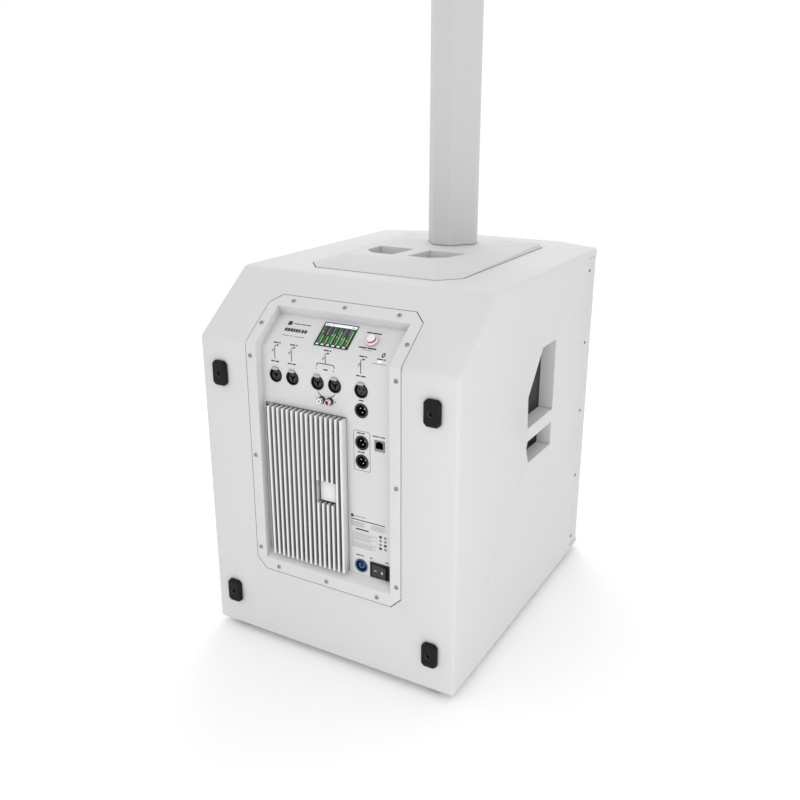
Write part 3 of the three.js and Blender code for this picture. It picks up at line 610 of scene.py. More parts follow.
def edge_strips(name, fold, z0, z1, border, ends, marks):
    """The plain border of a grille: a strip along its top and bottom, and a flange at each end."""
    bm = bmesh.new()

    def strip(us, za, zb):
        for u0, u1 in zip(us, us[1:]):
            corners = [fold(u0, za), fold(u1, za), fold(u1, zb), fold(u0, zb)]
            bm.faces.new([bm.verts.new(p) for p in corners])

    strip(marks, z0, z0 + border)
    strip(marks, z1 - border, z1)
    for low, high in ends:
        strip([low, high], z0 + border, z1 - border)
    bmesh.ops.remove_doubles(bm, verts=bm.verts, dist=0.00002)
    face_outward(bm)
    return thickened(new_piece(name, bm, "grille"), GRILLE_SHEET)


def joined(name, pieces):
    """Several pieces in one mesh, materials kept in step."""
    bm = bmesh.new()
    for piece in pieces:
        bm.from_mesh(piece.data)
    mesh = bpy.data.meshes.new(name)
    bm.to_mesh(mesh)
    bm.free()
    for slot in pieces[0].data.materials:
        mesh.materials.append(slot)
    for piece in pieces:
        used = piece.data
        bpy.data.objects.remove(piece)
        bpy.data.meshes.remove(used)
    return add_object(name, mesh)


def make_front_grille():
    low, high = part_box("front_grille")
    inset = GRILLE_SHEET / 2 + GRILLE_INSET
    flange = 36 * MM
    fold_y = low.y + 37 * MM
    x = SIDE - inset
    path = [(x, fold_y + flange), (x, fold_y), (LIP_X, low.y + inset),
            (-LIP_X, low.y + inset), (-x, fold_y), (-x, fold_y + flange)]
    border = 8 * MM
    solid = flange - 1 * MM
    pitch, hole = 8 * MM, 5.6 * MM
    holes, fold, total = perforated("grille_holes", path, low.z + border, high.z - border, pitch, hole, solid)
    ends = [(0.0, solid), (total - solid, total)]
    rim = edge_strips("grille_rim", fold, low.z, high.z, border, ends, path_marks(path))
    place(joined("front_grille_sheet", [holes, rim]), CABINET, "grille_paint", "front_grille")


def make_array_grille():
    low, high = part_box("array_grille")
    y = (low.y + high.y) / 2
    border = 3 * MM
    path = [(low.x, y), (high.x, y)]
    pitch, hole = 5 * MM, 3.5 * MM
    holes, fold, total = perforated("array_holes", path, low.z + border, high.z - border, pitch, hole, border)
    ends = [(0.0, border), (total - border, total)]
    rim = edge_strips("array_rim", fold, low.z, high.z, border, ends, [0.0, total])
    place(joined("array_grille_sheet", [holes, rim]), ARRAY, "grille_paint", "array_grille")


# ---------------- jacks
JACK_R = 10.6
JACK_ROW = 446.0
PINS = [(-3.6, 2.0), (3.6, 2.0), (0.0, -3.8)]
NOTCH_HALF = 4.9
NOTCH_LOW = 7.7  # over the jack's middle, where the notch for the release tab begins


def moved(bm, x, y):
    bm.transform(Matrix.Translation((x * MM, y * MM, 0)))
    return bm


def hole_tool(x, y, radius, low, high, segments=24):
    return moved(lathe([(0, low), (radius, low), (radius, high), (0, high)], segments), x, y)


def box_tool(x0, x1, y0, y1, z0, z1):
    return slab(bmesh.new(), x0, x1, y0, y1, z0, z1)


def jack_rim(cavity, depth):
    """The jack's round face: a rolled edge round a cavity, back to its own floor."""
    crown = (cavity + JACK_R) / 2
    return lathe([(0, -depth), (cavity, -depth), (cavity, 0.5), (cavity + 0.15, 0.95), (crown, 1.2),
                  (JACK_R - 0.2, 0.95), (JACK_R, 0.5), (JACK_R, -depth - 2.6), (0, -depth - 2.6)], 72)


def notched_rim(depth):
    """A rim with a notch at its top, for the release tab."""
    return cut_away(jack_rim(9.0, depth), [box_tool(-NOTCH_HALF, NOTCH_HALF, NOTCH_LOW, 15, -30, 5)])


def socket_core(radius, low, high):
    return lathe([(0, low), (radius, low), (radius, high - 0.6), (radius - 0.6, high), (0, high)], 56)


def add_to(bm, other, material_index=0):
    for face in other.faces:
        face.material_index += material_index
    mesh = bpy.data.meshes.new("part")
    other.to_mesh(mesh)
    other.free()
    bm.from_mesh(mesh)
    bpy.data.meshes.remove(mesh)
    return bm


def paint_shade_below(bm, height, material_index):
    """Painted shade: gives the faces that lie deeper than a height, in mm, another, darker material that
    stands for the shade down in a socket.
    """
    for face in bm.faces:
        if face.calc_center_median().z < height * MM:
            face.material_index = material_index
    return bm


def finish_jack(bm, name, matrix, slot, node, materials=("black", "charcoal")):
    turned_round(bm, matrix)
    face_outward(bm)
    piece = new_piece(name, bm, materials)
    bevel(piece, 0.18 * MM, 2, 35)
    return place(piece, CABINET, slot, node)


def make_combo(index, x, z):
    """A socket for both a round plug and a three-pin one: its holes run together as a clover leaf."""
    cutters = [hole_tool(0, 0, 2.4, -11.5, 5, 32)]
    cutters += [hole_tool(px, py, 1.6, -9, 5, 20) for px, py in PINS]
    core = cut_away(socket_core(7.4, -12.5, -0.8), cutters)
    # Painted shade: the faces deeper than 1.6 mm, down in the holes, turn black.
    bm = paint_shade_below(add_to(notched_rim(12), core, 1), -1.6, 0)
    name = f"combo_jack_{index}"
    finish_jack(bm, name + "_face", rear_frame(x, z), "jack_plastic", name)


def make_mic(x, z):
    """A three-pin socket: a charcoal face with one hole for each pin."""
    cutters = [hole_tool(px, py, 1.3, -12, 5, 20) for px, py in PINS]
    core = cut_away(socket_core(7.6, -15, -1), cutters)
    # Painted shade: the faces deeper than 2 mm, down in the pin holes, turn black.
    bm = paint_shade_below(add_to(notched_rim(14), core, 1), -2.0, 0)
    finish_jack(bm, "mic_jack_face", rear_frame(x, z), "jack_plastic", "mic_jack")


def make_output(index, x, z):
    """A plug of three bright pins down in a round hole with a charcoal rim."""
    name = f"line_output_{index}"
    rim = cut_away(jack_rim(8.0, 14), [box_tool(-1.6, 1.6, 7.0, 9.0, -12, 5)])
    # Painted shade: the cavity's faces deeper than 1 mm turn black.
    paint_shade_below(rim, -1.0, 1)
    finish_jack(rim, name + "_face", rear_frame(x, z), "jack_plastic", name, ("charcoal", "black"))
    pins = bmesh.new()
    for px, py in PINS:
        pin = lathe([(0, -14.2), (1.2, -14.2), (1.2, -3.4), (0.8, -2.7), (0, -2.4)], 24)
        add_to(pins, moved(pin, px, py))
    turned_round(pins, rear_frame(x, z))
    place(new_piece(name + "_pins", pins, "nickel", True), CABINET, "jack_metal")


def make_phono(node, colour):
    """A bright barrel on a black collar, with a coloured ring round its hole, whose dark is painted shade: a
    black disc.
    """
    matrix = on_rear(node)
    ring = lathe([(4.15, 0.05), (5.4, 0.05), (5.4, 2.0), (5.1, 2.4), (4.15, 2.4)], 48)
    place(new_piece(node + "_collar", turned_round(ring, matrix), "black", True), CABINET, "jack_plastic")
    barrel = lathe([(0, 7.0), (3.3, 7.0), (3.3, 8.8), (3.5, 9.0), (3.8, 9.0), (4.1, 8.6), (4.1, -9),
                    (0, -9)], 48)
    piece = new_piece(node + "_barrel", turned_round(barrel, matrix), "nickel")
    bevel(piece, 0.08 * MM, 1, 35)
    place(piece, CABINET, "jack_metal", node)
    insert = lathe([(1.5, 7.1), (3.28, 7.1), (3.28, 8.7), (3.0, 8.95), (1.7, 8.95), (1.5, 8.7)], 48)
    # Painted shade: a black disc just below the insert's top stands for the dark of the centre hole.
    lathe([(0, 7.1), (1.45, 7.1), (1.45, 7.9), (0, 7.9)], 32, 1, insert)
    insert = new_piece(node + "_insert", turned_round(insert, matrix), [colour, "black"])
    place(insert, CABINET, "jack_plastic")


def make_network():
    """A square socket with a step at its top and eight gold contacts."""
    matrix = on_rear("network_jack")
    bm = cut_away(slab(bmesh.new(), -8, 8, -8, 8, -17.5, 0.6, 0, 0.8),
                  [box_tool(-6, 6, -4, 5.5, -14, 5), box_tool(-3, 3, 5.4, 7, -14, 5)])
    # Painted shade: the cavity's faces deeper than 0.8 mm turn black against the grey socket.
    paint_shade_below(bm, -0.8, 1)
    turned_round(bm, matrix)
    piece = new_piece("network_jack_body", bm, ["socket_grey", "black"])
    bevel(piece, 0.2 * MM, 2, 35)
    place(piece, CABINET, "jack_plastic", "network_jack")
    contacts = bmesh.new()
    for i in range(8):
        x = (i - 3.5) * 1.02
        prism(contacts, [(x - 0.22, 4.0), (x + 0.22, 4.0), (x + 0.22, 5.3), (x - 0.22, 5.3)], -13.5, -5)
    place(new_piece("network_contacts", turned_round(contacts, matrix), "gold"), CABINET, "jack_metal")


def make_mains():
    """A locking mains inlet: a blue rim, a well lined with a thin black sheet of painted shade, and in it a
    ring that is open at its top.
    """
    matrix = on_rear("mains_inlet")
    finish_jack(jack_rim(9.8, 15), "mains_rim", matrix, "inlet_plastic", "mains_inlet", ("blue", "black"))
    sleeve = lathe([(8.5, -14.5), (9.75, -14.5), (9.75, 0.7), (9.5, 0.95), (8.8, 0.95), (8.5, 0.6)], 72)
    piece = new_piece("mains_sleeve", turned_round(sleeve, matrix), "blue")
    bevel(piece, 0.15 * MM, 2, 35)
    place(piece, CABINET, "inlet_plastic")
    # Painted shade: a thin black sheet lines the sleeve's wall and the well's floor so the well reads dark;
    # the same piece holds the black post in its middle.
    well_shade_sheet = lathe([(8.1, -14.9), (8.45, -14.9), (8.45, -0.4), (8.1, -0.4)], 72)
    lathe([(0, -14.95), (8.0, -14.95), (8.0, -14.6), (0, -14.6)], 72, 0, well_shade_sheet)
    lathe([(0, -14.5), (2.9, -14.5), (2.9, -8.0), (0, -8.0)], 48, 0, well_shade_sheet)
    well_shade_sheet = new_piece("mains_well_shade_sheet", turned_round(well_shade_sheet, matrix), "black")
    shade_smooth(well_shade_sheet)
    place(well_shade_sheet, CABINET, "jack_plastic")
    ring = lathe([(3.8, -14.4), (5.2, -14.4), (5.2, -1.2), (5.0, -0.8), (4.0, -0.8), (3.8, -1.2)], 56)
    core = cut_away(ring, [box_tool(-2.2, 2.2, 0.5, 8, -16, 5)])
    piece = new_piece("mains_core", turned_round(core, matrix), "pale_blue")
    bevel(piece, 0.2 * MM, 2, 35)
    place(piece, CABINET, "inlet_plastic")


ROCKER_DIP = 2.2  # the height of the valley between the rocker's two halves, whose slopes follow
ROCKER_LEFT = math.degrees(math.atan2(2.9 - ROCKER_DIP, 12.2))
ROCKER_RIGHT = math.degrees(math.atan2(6.2 - ROCKER_DIP, 11.9))


def make_rocker():
    softened("rocker_housing", CABINET, "jack_plastic", "black", 0.5 * MM, 3)
    softened("power_rocker", ROCKER, "jack_plastic", "charcoal", 0.4 * MM, 2)
    matrix = on_rear("rocker_housing")

    def on_half(bm, x, slope):
        """Lays a mark that was made in the plane on the half of the rocker that x is on."""
        rise = ROCKER_DIP + 0.04 + abs(x) * math.tan(math.radians(slope))
        turn = Matrix.Rotation(math.radians(slope if x < 0 else -slope), 4, "Y")
        bm.transform(Matrix.Translation((x * MM, 0, rise * MM)) @ turn)
        return bm

    marks = prism(bmesh.new(), [(-1.7, -0.4), (1.7, -0.4), (1.7, 0.4), (-1.7, 0.4)], 0, 0.05)
    on_half(marks, -6.4, ROCKER_LEFT)
    ring = lathe([(1.25, 0), (1.95, 0), (1.95, 0.05), (1.25, 0.05)], 32)
    add_to(marks, on_half(ring, 5.6, ROCKER_RIGHT))
    # Painted light: the marks are made of the display's glowing white, so the print on the rocker glows
    # though it has no lamp.
    place(new_piece("rocker_marks", turned_round(marks, matrix), "pixel"), ROCKER, "tab_plastic")


# ---------------- display and knob
def make_display():
    """Six channel strips with level bars, a pale header with marks, and a row of white fields below."""
    softened("display_screen", CABINET, "screen", "glass", 0.3 * MM, 2)
    green, leaf, brown, slate, pixel, glass = range(6)
    width, height = 56.5, 41.5
    front = 1.2
    ground, mark, dot = [(front + 0.01 + 0.04 * k, front + 0.04 + 0.04 * k) for k in range(3)]
    bm = bmesh.new()
    left, right = -width / 2 + 2.2, width / 2 - 1.0
    low, high = -height / 2 + 4.4, height / 2 - 7.4
    levels = [0.45, 0.42, 0.62, 0.80, 0.50, 0.92]
    step = (right - left) / len(levels)
    for i, level in enumerate(levels):
        x = left + step * i
        bar_top = low + (high - low) * level
        knee = low + (high - low) * (0.5 + 0.1 * (i % 2))
        slab(bm, x + 0.5, x + 3.9, low, knee, *ground, brown if i % 2 else leaf)
        slab(bm, x + 0.5, x + 3.9, knee, high, *ground, slate if i % 3 else leaf)
        slab(bm, x + 4.3, x + 5.6, low, bar_top, *mark, leaf)
        slab(bm, x + 5.8, x + 7.0, low, bar_top, *mark, green)
        slab(bm, x + 5.8, x + 6.6, bar_top, high, *ground, leaf if i % 2 else slate)
        for k in range(6):
            z = low + (high - low) * (k + 0.6) / 6
            slab(bm, x + 1.0, x + 3.0, z - 0.22, z + 0.22, *dot, glass)
        fader = low + (high - low) * (0.66 - 0.07 * i)
        slab(bm, x + 1.6, x + 3.2, fader - 0.5, fader + 0.5, *dot, pixel)
        slab(bm, x + 0.6, x + 5.2, -height / 2 + 1.2, -height / 2 + 3.6, *ground, pixel)
        for k in range(2):
            spot = x + 1.6 + 1.9 * k
            slab(bm, spot - 0.4, spot + 0.3, -height / 2 + 1.8, -height / 2 + 3.0, *mark, glass)
    slab(bm, left, right, height / 2 - 6.4, height / 2 - 1.6, *ground, pixel)
    for x, w in ((-22.5, 3.4), (-17.5, 1.2), (-12.5, 2.4), (-8.5, 1.0), (21.5, 5.0)):
        slab(bm, x - w / 2, x + w / 2, height / 2 - 4.8, height / 2 - 3.4, *mark, slate)
    turned_round(bm, slope_frame(0, 44))
    graphics = new_piece("display_graphics", bm, ["green", "leaf", "brown", "slate", "pixel", "glass"])
    place(graphics, CABINET, "screen")


def make_knob():
    """A white cap with a red band round its side, on a wider grooved skirt."""
    centre = middle("control_knob")
    up = (centre - BEND).dot(UP) / MM
    matrix = slope_frame(centre.x / MM, up)
    bm = bmesh.new()
    segments, groove = 96, 0.22
    skirt, cap = 8.75, 6.6
    profile = [(3.15, 1.05), (8.3, 1.05), (skirt, 1.4), (skirt, 3.7), (8.3, 4.4), (7.6, 4.75), (cap, 4.8),
               (cap, 7.4), (6.3, 7.85), (5.8, 7.95), (0, 7.8), (0, 5.6), (3.15, 5.6)]
    rings = []
    for radius, height in profile:
        depth = groove if radius == skirt else 0.0
        grooved = [radius - (depth if i % 4 < 2 else 0.0) for i in range(segments)]
        rings.append(ring_of(bm, grooved if radius else [0.0], height))
    skin(bm, rings)
    face_outward(bm)
    piece = new_piece("knob_cap", turned_round(bm, matrix), "knob", True)
    shade_smooth(piece)
    place(piece, KNOB, "knob_plastic", "control_knob")
    band = lathe([(6.62, 4.85), (6.95, 4.85), (7.0, 5.0), (7.0, 7.1), (6.9, 7.3), (6.62, 7.35)], 72)
    place(new_piece("knob_red_band", turned_round(band, matrix), "red", True), KNOB, "knob_plastic")


# ---------------- printed marks on the panel
LINE = 1.25
PRINT = (0.01, 0.06)
COMBO_X = [87.5, 58.0, 14.5, -14.5]
MIC_X = -58.0
LABEL_Z = 467.0
LEADER = (470.6, 487.0)  # the lines up from the labels to the bend


def words(bm, x, y, widths, height, gap=1.1, index=0):
    """A generic line of print: a row of short bars, centred on a point; x runs to the left on the panel."""
    total = sum(widths) + gap * (len(widths) - 1)
    start = -x - total / 2
    for width in widths:
        slab(bm, start, start + width, y - height / 2, y + height / 2, *PRINT, index)
        start += width + gap
    return bm


def arc_points(cx, cy, radius, first, last):
    steps = 5
    turns = [math.radians(first + (last - first) * i / steps) for i in range(steps + 1)]
    return [(cx + radius * math.cos(a), cy + radius * math.sin(a)) for a in turns]


def make_rear_print():
    """The labels and leader lines round the jacks, as bars and strokes."""
    bm = bmesh.new()
    for x in COMBO_X[:2]:
        words(bm, x, LABEL_Z, [5.2, 2.0, 5.2], 1.9, 0.8)
        stroke(bm, [(-x, z) for z in LEADER], LINE, *PRINT)
    words(bm, 0, LABEL_Z, [7.2], 1.9)
    words(bm, 15.8, LABEL_Z, [1.2], 1.7)
    words(bm, -12.8, LABEL_Z, [1.5], 1.7)
    words(bm, MIC_X, LABEL_Z, [5.6, 0.9, 7.0], 1.9, 0.8)
    stroke(bm, [(-MIC_X, z) for z in LEADER], LINE, *PRINT)
    stroke(bm, [(0, 475.6), (0, LEADER[1])], LINE, *PRINT)
    bracket = [(-14.6, 470.8), (-14.6, 472.6), *arc_points(-11.8, 472.6, 2.8, 180, 90),
               *arc_points(11.8, 472.6, 2.8, 90, 0), (14.6, 470.8)]
    stroke(bm, bracket, LINE, *PRINT)
    stroke(bm, [(-14.5, 433.4), (-13.2, 431.2), (-9.8, 428.8), (-8.6, 427.6)], LINE, *PRINT)
    stroke(bm, [(14.5, 433.4), (13.4, 431.2), (9.4, 428.8), (8.2, 427.6)], LINE, *PRINT)
    words(bm, 16.2, 421.8, [1.4], 1.9)
    words(bm, -15.4, 421.8, [1.6], 1.9)
    words(bm, MIC_X, 431.8, [7.4], 1.9)
    box = [(44.6, 329.6), *arc_points(47.6, 329.6, 3, 180, 270), *arc_points(68.4, 329.6, 3, 270, 360),
           *arc_points(68.4, 383.6, 3, 0, 90), *arc_points(47.6, 383.6, 3, 90, 180), (44.6, 329.6)]
    stroke(bm, box, 0.6, *PRINT)
    words(bm, -56.6, 383.3, [6.4, 5.0], 1.8, 1.0)
    words(bm, -56.8, 354.8, [5.4, 5.0], 1.8, 1.0)
    words(bm, -86.0, 383.2, [10.0, 1.2, 7.0], 1.6, 0.9)
    words(bm, -51.6, 190.4, [8.0, 3.4], 1.7, 1.0)
    words(bm, -71.2, 190.3, [4.0], 1.7)
    words(bm, -97.8, 189.7, [5.0], 1.7)
    words(bm, -85.0, 156.6, [7, 5, 8, 6], 1.1, 0.8)
    words(bm, -82.0, 154.2, [8, 6], 0.7, 0.8)
    piece = new_piece("panel_marks", turned_round(bm, rear_frame(0, 0)), "ink")
    place(piece, CABINET, "plate_paint")


def make_rating_block():
    """The block of small print over the mains inlet, as plain lines and boxes."""
    bm = bmesh.new()
    left, right = 37.5, 99.0
    slab(bm, left, left + 4.6, 250.6, 255.2, *PRINT, 0, 0.6)
    slab(bm, left + 6.0, left + 25, 252.2, 253.4, *PRINT, 1)
    slab(bm, left, right - 4, 246.8, 248.2, *PRINT, 0)
    for row in range(4):
        y = 243.6 - 2.1 * row
        slab(bm, left, left + 24 - 3 * (row % 2), y - 0.35, y + 0.35, *PRINT, 1)
        slab(bm, left + 34, right - 2 - 4 * (row % 2), y - 0.35, y + 0.35, *PRINT, 1)
    slab(bm, left + 8, left + 30, 231.6, 233.8, *PRINT, 0)
    stroke(bm, [(left + 2, 228), (left + 44, 228), (left + 44, 213), (left + 2, 213), (left + 2, 228)],
           0.3, *PRINT, 1)
    for row in range(6):
        y = 225.6 - 2.1 * row
        slab(bm, left + 4, left + 41 - 5 * (row % 3), y - 0.3, y + 0.3, *PRINT, 1)
    for row in range(4):
        for column in range(2):
            x, y = left + 47.5 + 8 * column, 229 - 6.2 * row
            slab(bm, x, x + 4.6, y - 2.0, y + 2.0, *PRINT, 0 if (row + column) % 3 == 0 else 1, 1.2)
    for row in range(4):
        y = 210 - 2.3 * row
        slab(bm, left, left + 42 - 6 * (row % 2), y - 0.35, y + 0.35, *PRINT, 1)
    piece = new_piece("rating_block", turned_round(bm, rear_frame(0, 0)), ["ink", "pale_ink"])
    place(piece, CABINET, "plate_paint")


def make_slope_print():
    """The generic block, the labels round the knob, and a row of channel marks."""
    bm = bmesh.new()
    slab(bm, -88.6, -81.4, 50.4, 57.6, *PRINT, 0, 1.6)
    words(bm, 63.5, 54.2, [11, 9, 7], 1.5, 1.2)
    words(bm, 74.8, 42.4, [4.3, 4.3, 4.3, 3.4, 4.3, 3.4], 5.8, 0.7)
    words(bm, 54.6, 42.4, [4.3, 4.3], 5.8, 0.9)
    words(bm, 78.5, 32.0, [12, 6], 1.3, 1.4, 1)
    words(bm, 57.5, 32.0, [16], 1.3, 1.4, 1)
    for x in (88.6, 59.2, 1.4, -57.2):
        words(bm, x, 17.2, [8.6, 2.6], 2.1, 1.3)
        words(bm, x - 3.4, 12.6, [2.6], 2.6)
        stroke(bm, [(-x + 1.8, 13.6), (-x - 0.2, 11.2), (-x - 0.2, 8.6)], LINE, *PRINT)
        stroke(bm, [(-x - 0.2, 5.6), (-x - 0.2, 0.6)], LINE, *PRINT)
    words(bm, -56.0, 57.8, [9, 14], 2.0, 0.9)
    words(bm, -57.0, 31.9, [13, 14], 2.2, 1.2)
    words(bm, -57.0, 28.4, [6, 8], 1.1, 1.0, 1)
    ring = lathe([(1.5, PRINT[0]), (3.4, PRINT[0]), (3.4, PRINT[1]), (1.5, PRINT[1])], 40)
    ring.transform(Matrix.Diagonal((0.8, 1.2, 1, 1)))
    ring.transform(Matrix.Translation((86.2 * MM, 24.4 * MM, 0)))
    add_to(bm, ring)
    words(bm, -86.0, 17.2, [9, 3.4], 1.9, 1.0)
    words(bm, -86.4, 9.2, [10, 11], 1.0, 1.0, 1)
    piece = new_piece("slope_marks", turned_round(bm, slope_frame(0, 0)), ["ink", "pale_ink"])
    place(piece, CABINET, "plate_paint")
    lamp = slab(bmesh.new(), 82.8, 88.2, 12.0, 14.4, 0.01, 0.35, 0, 1.1)
    place(new_piece("status_lamp", turned_round(lamp, slope_frame(0, 0)), "lamp"), CABINET, "knob_plastic")


# ---------------- drivers and ports
def front_frame(x, y, z):
    """A frame whose z axis points to the front, -Y."""
    return Matrix.Translation((x, y, z)) @ Matrix.Rotation(math.pi / 2, 4, "X")


def turned_piece(name, points, matrix, material, body, slot, node, segments=96):
    bm = turned_round(lathe(points, segments), matrix)
    face_outward(bm)
    piece = new_piece(name, bm, material, True)
    shade_smooth(piece, 28)
    return place(piece, body, slot, node)


def roll(middle_radius, radius, rise):
    """The half wave of a driver's surround, across its width."""
    turns = [math.pi * i / 12 for i in range(13)]
    return [(middle_radius - radius * math.cos(a), rise * math.sin(a)) for a in turns]


def make_woofer():
    centre = middle("woofer_frame")
    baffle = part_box("front_baffle")[0].y + 0.2 * MM
    matrix = front_frame(0, baffle, centre.z)
    low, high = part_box("woofer_frame")
    r = (high.x - low.x) / 2 / MM
    frame_points = [(r - 16, -1), (r - 18, 6), (r - 2, 6), (r, 4.6), (r, 0.5), (r - 14.5, 0.5),
                    (r - 14.5, -8), (r - 40, -40), (88, -112), (60, -112), (60, -108), (84, -108),
                    (r - 44, -38), (r - 18.5, -10)]
    turned_piece("woofer_basket", frame_points, matrix, "casting", CABINET, "driver_casting", "woofer_frame")
    outer, inner = r - 19, r - 45
    mid, half = (outer + inner) / 2, (outer - inner) / 2 - 2
    sheet, flat = 1.6, 0.75
    under = reversed(roll(mid, half - sheet, (half - sheet) * flat))
    surround = [(inner, 0), *roll(mid, half, half * flat), (outer, 0), (outer, -sheet)]
    surround += [*under, (inner, -sheet)]
    turned_piece("woofer_roll", surround, matrix, "surround", CABINET, "soft_rubber", "woofer_surround")
    rim = r - 46
    cone = [(48, -74)]
    cone += [(48 + (rim - 48) * i / 8, -74 + 74 * (i / 8) ** 1.12) for i in range(1, 9)]
    cone += [(rim, -3), (49, -79), (37, -79), (37, -106), (34, -106), (34, -74)]
    turned_piece("woofer_diaphragm_cone", cone, matrix, "fibre", DIAPHRAGM, "cone_paper", "woofer_cone")
    turns = [math.pi / 2 * i / 10 for i in range(10)]
    dome = [(60 * math.cos(a), -64 + 22 * math.sin(a)) for a in turns]
    under = [(57 * math.cos(a), -64 + 20 * math.sin(a)) for a in turns]
    cap = [(0, -42), *reversed(dome), *under, (0, -44)]
    turned_piece("woofer_dome", cap, matrix, "fibre", DIAPHRAGM, "cone_paper", "woofer_dust_cap", 72)
    magnet = [(0, -112.5), (24, -112.5), (24, -104), (32, -104), (32, -114), (72, -114), (78, -120),
              (78, -150), (76, -152), (0, -152)]
    turned_piece("woofer_motor", magnet, matrix, "casting", CABINET, "driver_casting", "woofer_magnet")
    bolts = []
    for i in range(8):
        a = 2 * math.pi * (i + 0.5) / 8
        spot = Vector(((r - 8) * MM * math.cos(a), baffle - 6 * MM, centre.z + (r - 8) * MM * math.sin(a)))
        bolts.append(axis_frame(spot, Vector((0, -1, 0))))
    add_screws("woofer_screws", bolts, CABINET, "jack_metal", "charcoal", 3.6)


def make_ports():
    for node in ("port_tube_left", "port_tube_right"):
        low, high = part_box(node)
        centre = (low + high) / 2
        r = (high.x - low.x) / 2 / MM
        points = [(r, 0), (r, -150), (r - 3, -150), (r - 3, -14)]
        points += [(r - 2.9, -8), (r - 2.4, -3), (r - 1.2, -0.6)]
        turned_piece(node + "_flare", points, front_frame(centre.x, low.y, centre.z), "port", CABINET,
                     "inner_plastic", node, 72)


def make_array_drivers():
    points = [(0, -6), (4, -6.6), (9, -9), (18, -3.6), (28, 1), (29, 2.2), (31, 3), (33.9, 3), (34.5, 2.4),
              (34.5, 0.3), (30, 0.3), (17, -16), (17, -34), (0, -34)]
    for i in range(1, 9):
        node = f"array_driver_{i}"
        low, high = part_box(node)
        centre = (low + high) / 2
        turned_piece(node + "_cone", points, front_frame(centre.x, low.y + 3 * MM, centre.z), "fibre", ARRAY,
                     "cone_paper", node, 48)


# ---------------- rubber parts
def make_bumpers():
    for i in range(1, 5):
        node = f"rear_bumper_{i}"
        softened(node, CABINET, "bumper_rubber", "rubber", 1.1 * MM, 3, 25)
        matrix = on_rear(node, REAR + 4 * MM)
        ring = lathe([(3.9, 0.05), (4.5, 0.05), (4.5, 3.2), (5.0, 3.9), (5.0, 3.95), (4.2, 3.6),
                      (3.9, 3.0)], 48)
        face_outward(ring)
        collar = new_piece(node + "_collar", turned_round(ring, matrix), "charcoal", True)
        place(collar, CABINET, "bumper_rubber")
        add_screws(node + "_screw", [matrix], CABINET, "jack_metal", "black", 3.0, 1.6, False)


def make_feet():
    for i in range(1, 5):
        node = f"foot_{i}"
        low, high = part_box(node)
        centre = (low + high) / 2
        r = (high.x - low.x) / 2 / MM
        top = (high.z - low.z) / MM
        points = [(0, 0.6), (3.2, 0.6), (3.8, 0), (r - 5.2, 0), (r - 3.8, 0.3), (r - 2.4, 1.3),
                  (r, top - 0.6), (r - 0.3, top), (0, top)]
        bm = turned_round(lathe(points, 56), Matrix.Translation((centre.x, centre.y, 0)))
        face_outward(bm)
        piece = new_piece(node + "_pad", bm, "rubber", True)
        shade_smooth(piece, 30)
        place(piece, CABINET, "bumper_rubber", node)


# ---------------- the rest of the CAD nodes
def dress_inner_nodes():
    """Hidden nodes keep their CAD shape and get a real material."""
    looks = {
        "front_baffle": "wood",
        "brace_board": "wood",
        "input_board": "board",
        "power_board": "board",
        "encoder_shaft": "nickel",
    }
    for node, key in looks.items():
        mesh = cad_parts[node].data
        mesh.materials.clear()
        mesh.materials.append(M[key])


def make_shells():
    make_cabinet()
    softened("amplifier_plate", CABINET, "plate_paint", "plate", 0.8 * MM, 3, 22)
    softened("heat_sink", CABINET, "sink_metal", "sink", 0.45 * MM, 2, 30)
    softened("top_tray", CABINET, "tray_plastic", "tray", 1.3 * MM, 3, 12)
    softened("pole", POLE, "column_paint", "column", 1.6 * MM, 4, 20)
    softened("pole_plug", POLE, "jack_plastic", "black", 0.8 * MM, 2)
    softened("array_body", ARRAY, "column_paint", "column", 1.6 * MM, 4, 20)
    for name in ("left", "right"):
        softened("side_cup_" + name, CABINET, "inner_plastic", "inner", 1.0 * MM, 2)
    for i in range(1, 6):
        softened(f"release_tab_{i}", f"tab_{i}", "tab_plastic", "tab", 0.7 * MM, 3)


def make_panel():
    for i, x in enumerate(COMBO_X):
        make_combo(i + 1, x, JACK_ROW)
    make_mic(MIC_X, JACK_ROW)
    for index in (1, 2, 3):
        make_output(index, MIC_X, middle(f"line_output_{index}").z / MM)
    make_phono("phono_jack_left", "knob")
    make_phono("phono_jack_right", "red")
    make_network()
    make_mains()
    make_rocker()
    make_display()
    make_knob()
    make_rear_print()
    make_rating_block()
    make_slope_print()


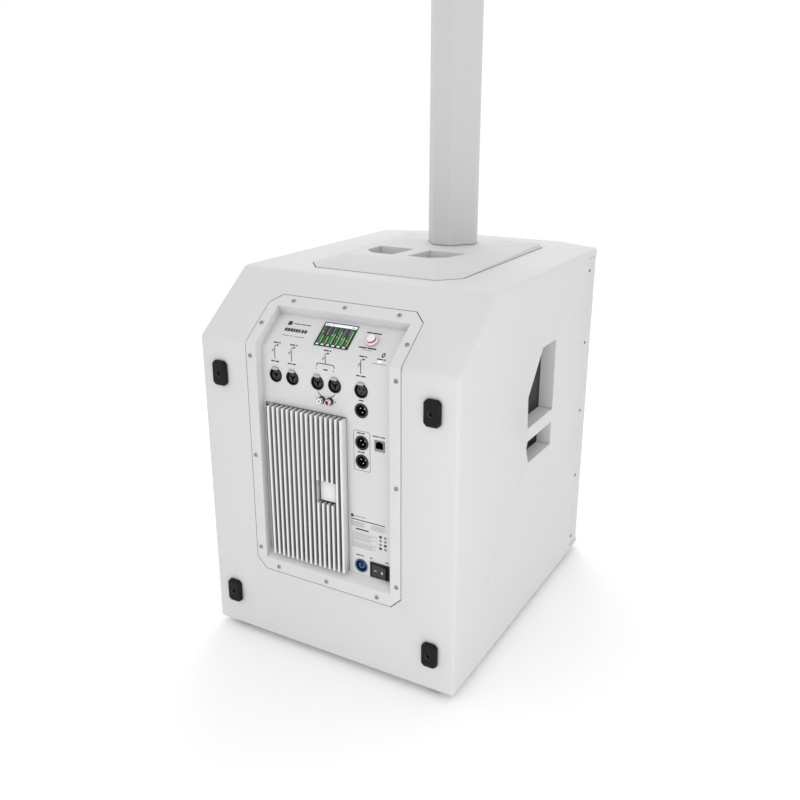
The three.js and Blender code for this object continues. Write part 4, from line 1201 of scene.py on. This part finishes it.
# ---------------- stage, lights, camera
CAMERA_PLACE = (-0.6698, 1.2326, 0.8301)
CAMERA_AZIMUTH = math.radians(209.717)
CAMERA_ELEVATION = math.radians(19.21)
LENS_MM, SENSOR_MM = 39.52, 36


def make_stage():
    half_width = 60.0
    bm = bmesh.new()
    bmesh.ops.create_grid(bm, x_segments=1, y_segments=1, size=half_width)
    M["floor"] = surface("pale_floor", (0.985, 0.985, 0.985), 0.9, grain=(200, 0.00001), mottle=0.001)
    new_piece("floor", bm, "floor")
    world = bpy.data.worlds.new("studio")
    bpy.context.scene.world = world
    world.use_nodes = True
    back = world.node_tree.nodes["Background"]
    back.inputs["Color"].default_value = (1.0, 1.0, 1.0, 1)
    back.inputs["Strength"].default_value = 1.03


def area_light(name, place_at, target, size, energy):
    data = bpy.data.lights.new(name, "AREA")
    data.shape = "DISK"
    data.size = size
    data.energy = energy
    lamp = add_object(name, data)
    lamp.location = place_at
    lamp.rotation_mode = "QUATERNION"
    lamp.rotation_quaternion = (Vector(target) - Vector(place_at)).to_track_quat("-Z", "Y")
    lamp.visible_camera = False


def make_camera():
    data = bpy.data.cameras.new("photo_camera")
    data.sensor_width = SENSOR_MM
    data.lens = LENS_MM
    camera = add_object("photo_camera", data)
    camera.location = CAMERA_PLACE
    level = math.cos(CAMERA_ELEVATION)
    back = Vector((math.sin(CAMERA_AZIMUTH) * level, -math.cos(CAMERA_AZIMUTH) * level,
                   math.sin(CAMERA_ELEVATION)))
    camera.rotation_mode = "QUATERNION"
    camera.rotation_quaternion = (-back).to_track_quat("-Z", "Y")
    bpy.context.scene.camera = camera


bpy.context.scene.view_settings.view_transform = "Standard"
make_camera()
make_stage()
area_light("key", (0.6, -1.1, 1.9), (0, 0, 0.6), 1.2, 7)
area_light("near_corner", (-0.8, 1.0, 0.35), (-0.215, 0.28, 0.3), 0.8, 2.0)
make_shells()
make_panel()
make_screws()
make_front_grille()
make_array_grille()
make_woofer()
make_ports()
make_array_drivers()
make_bumpers()
make_feet()
dress_inner_nodes()
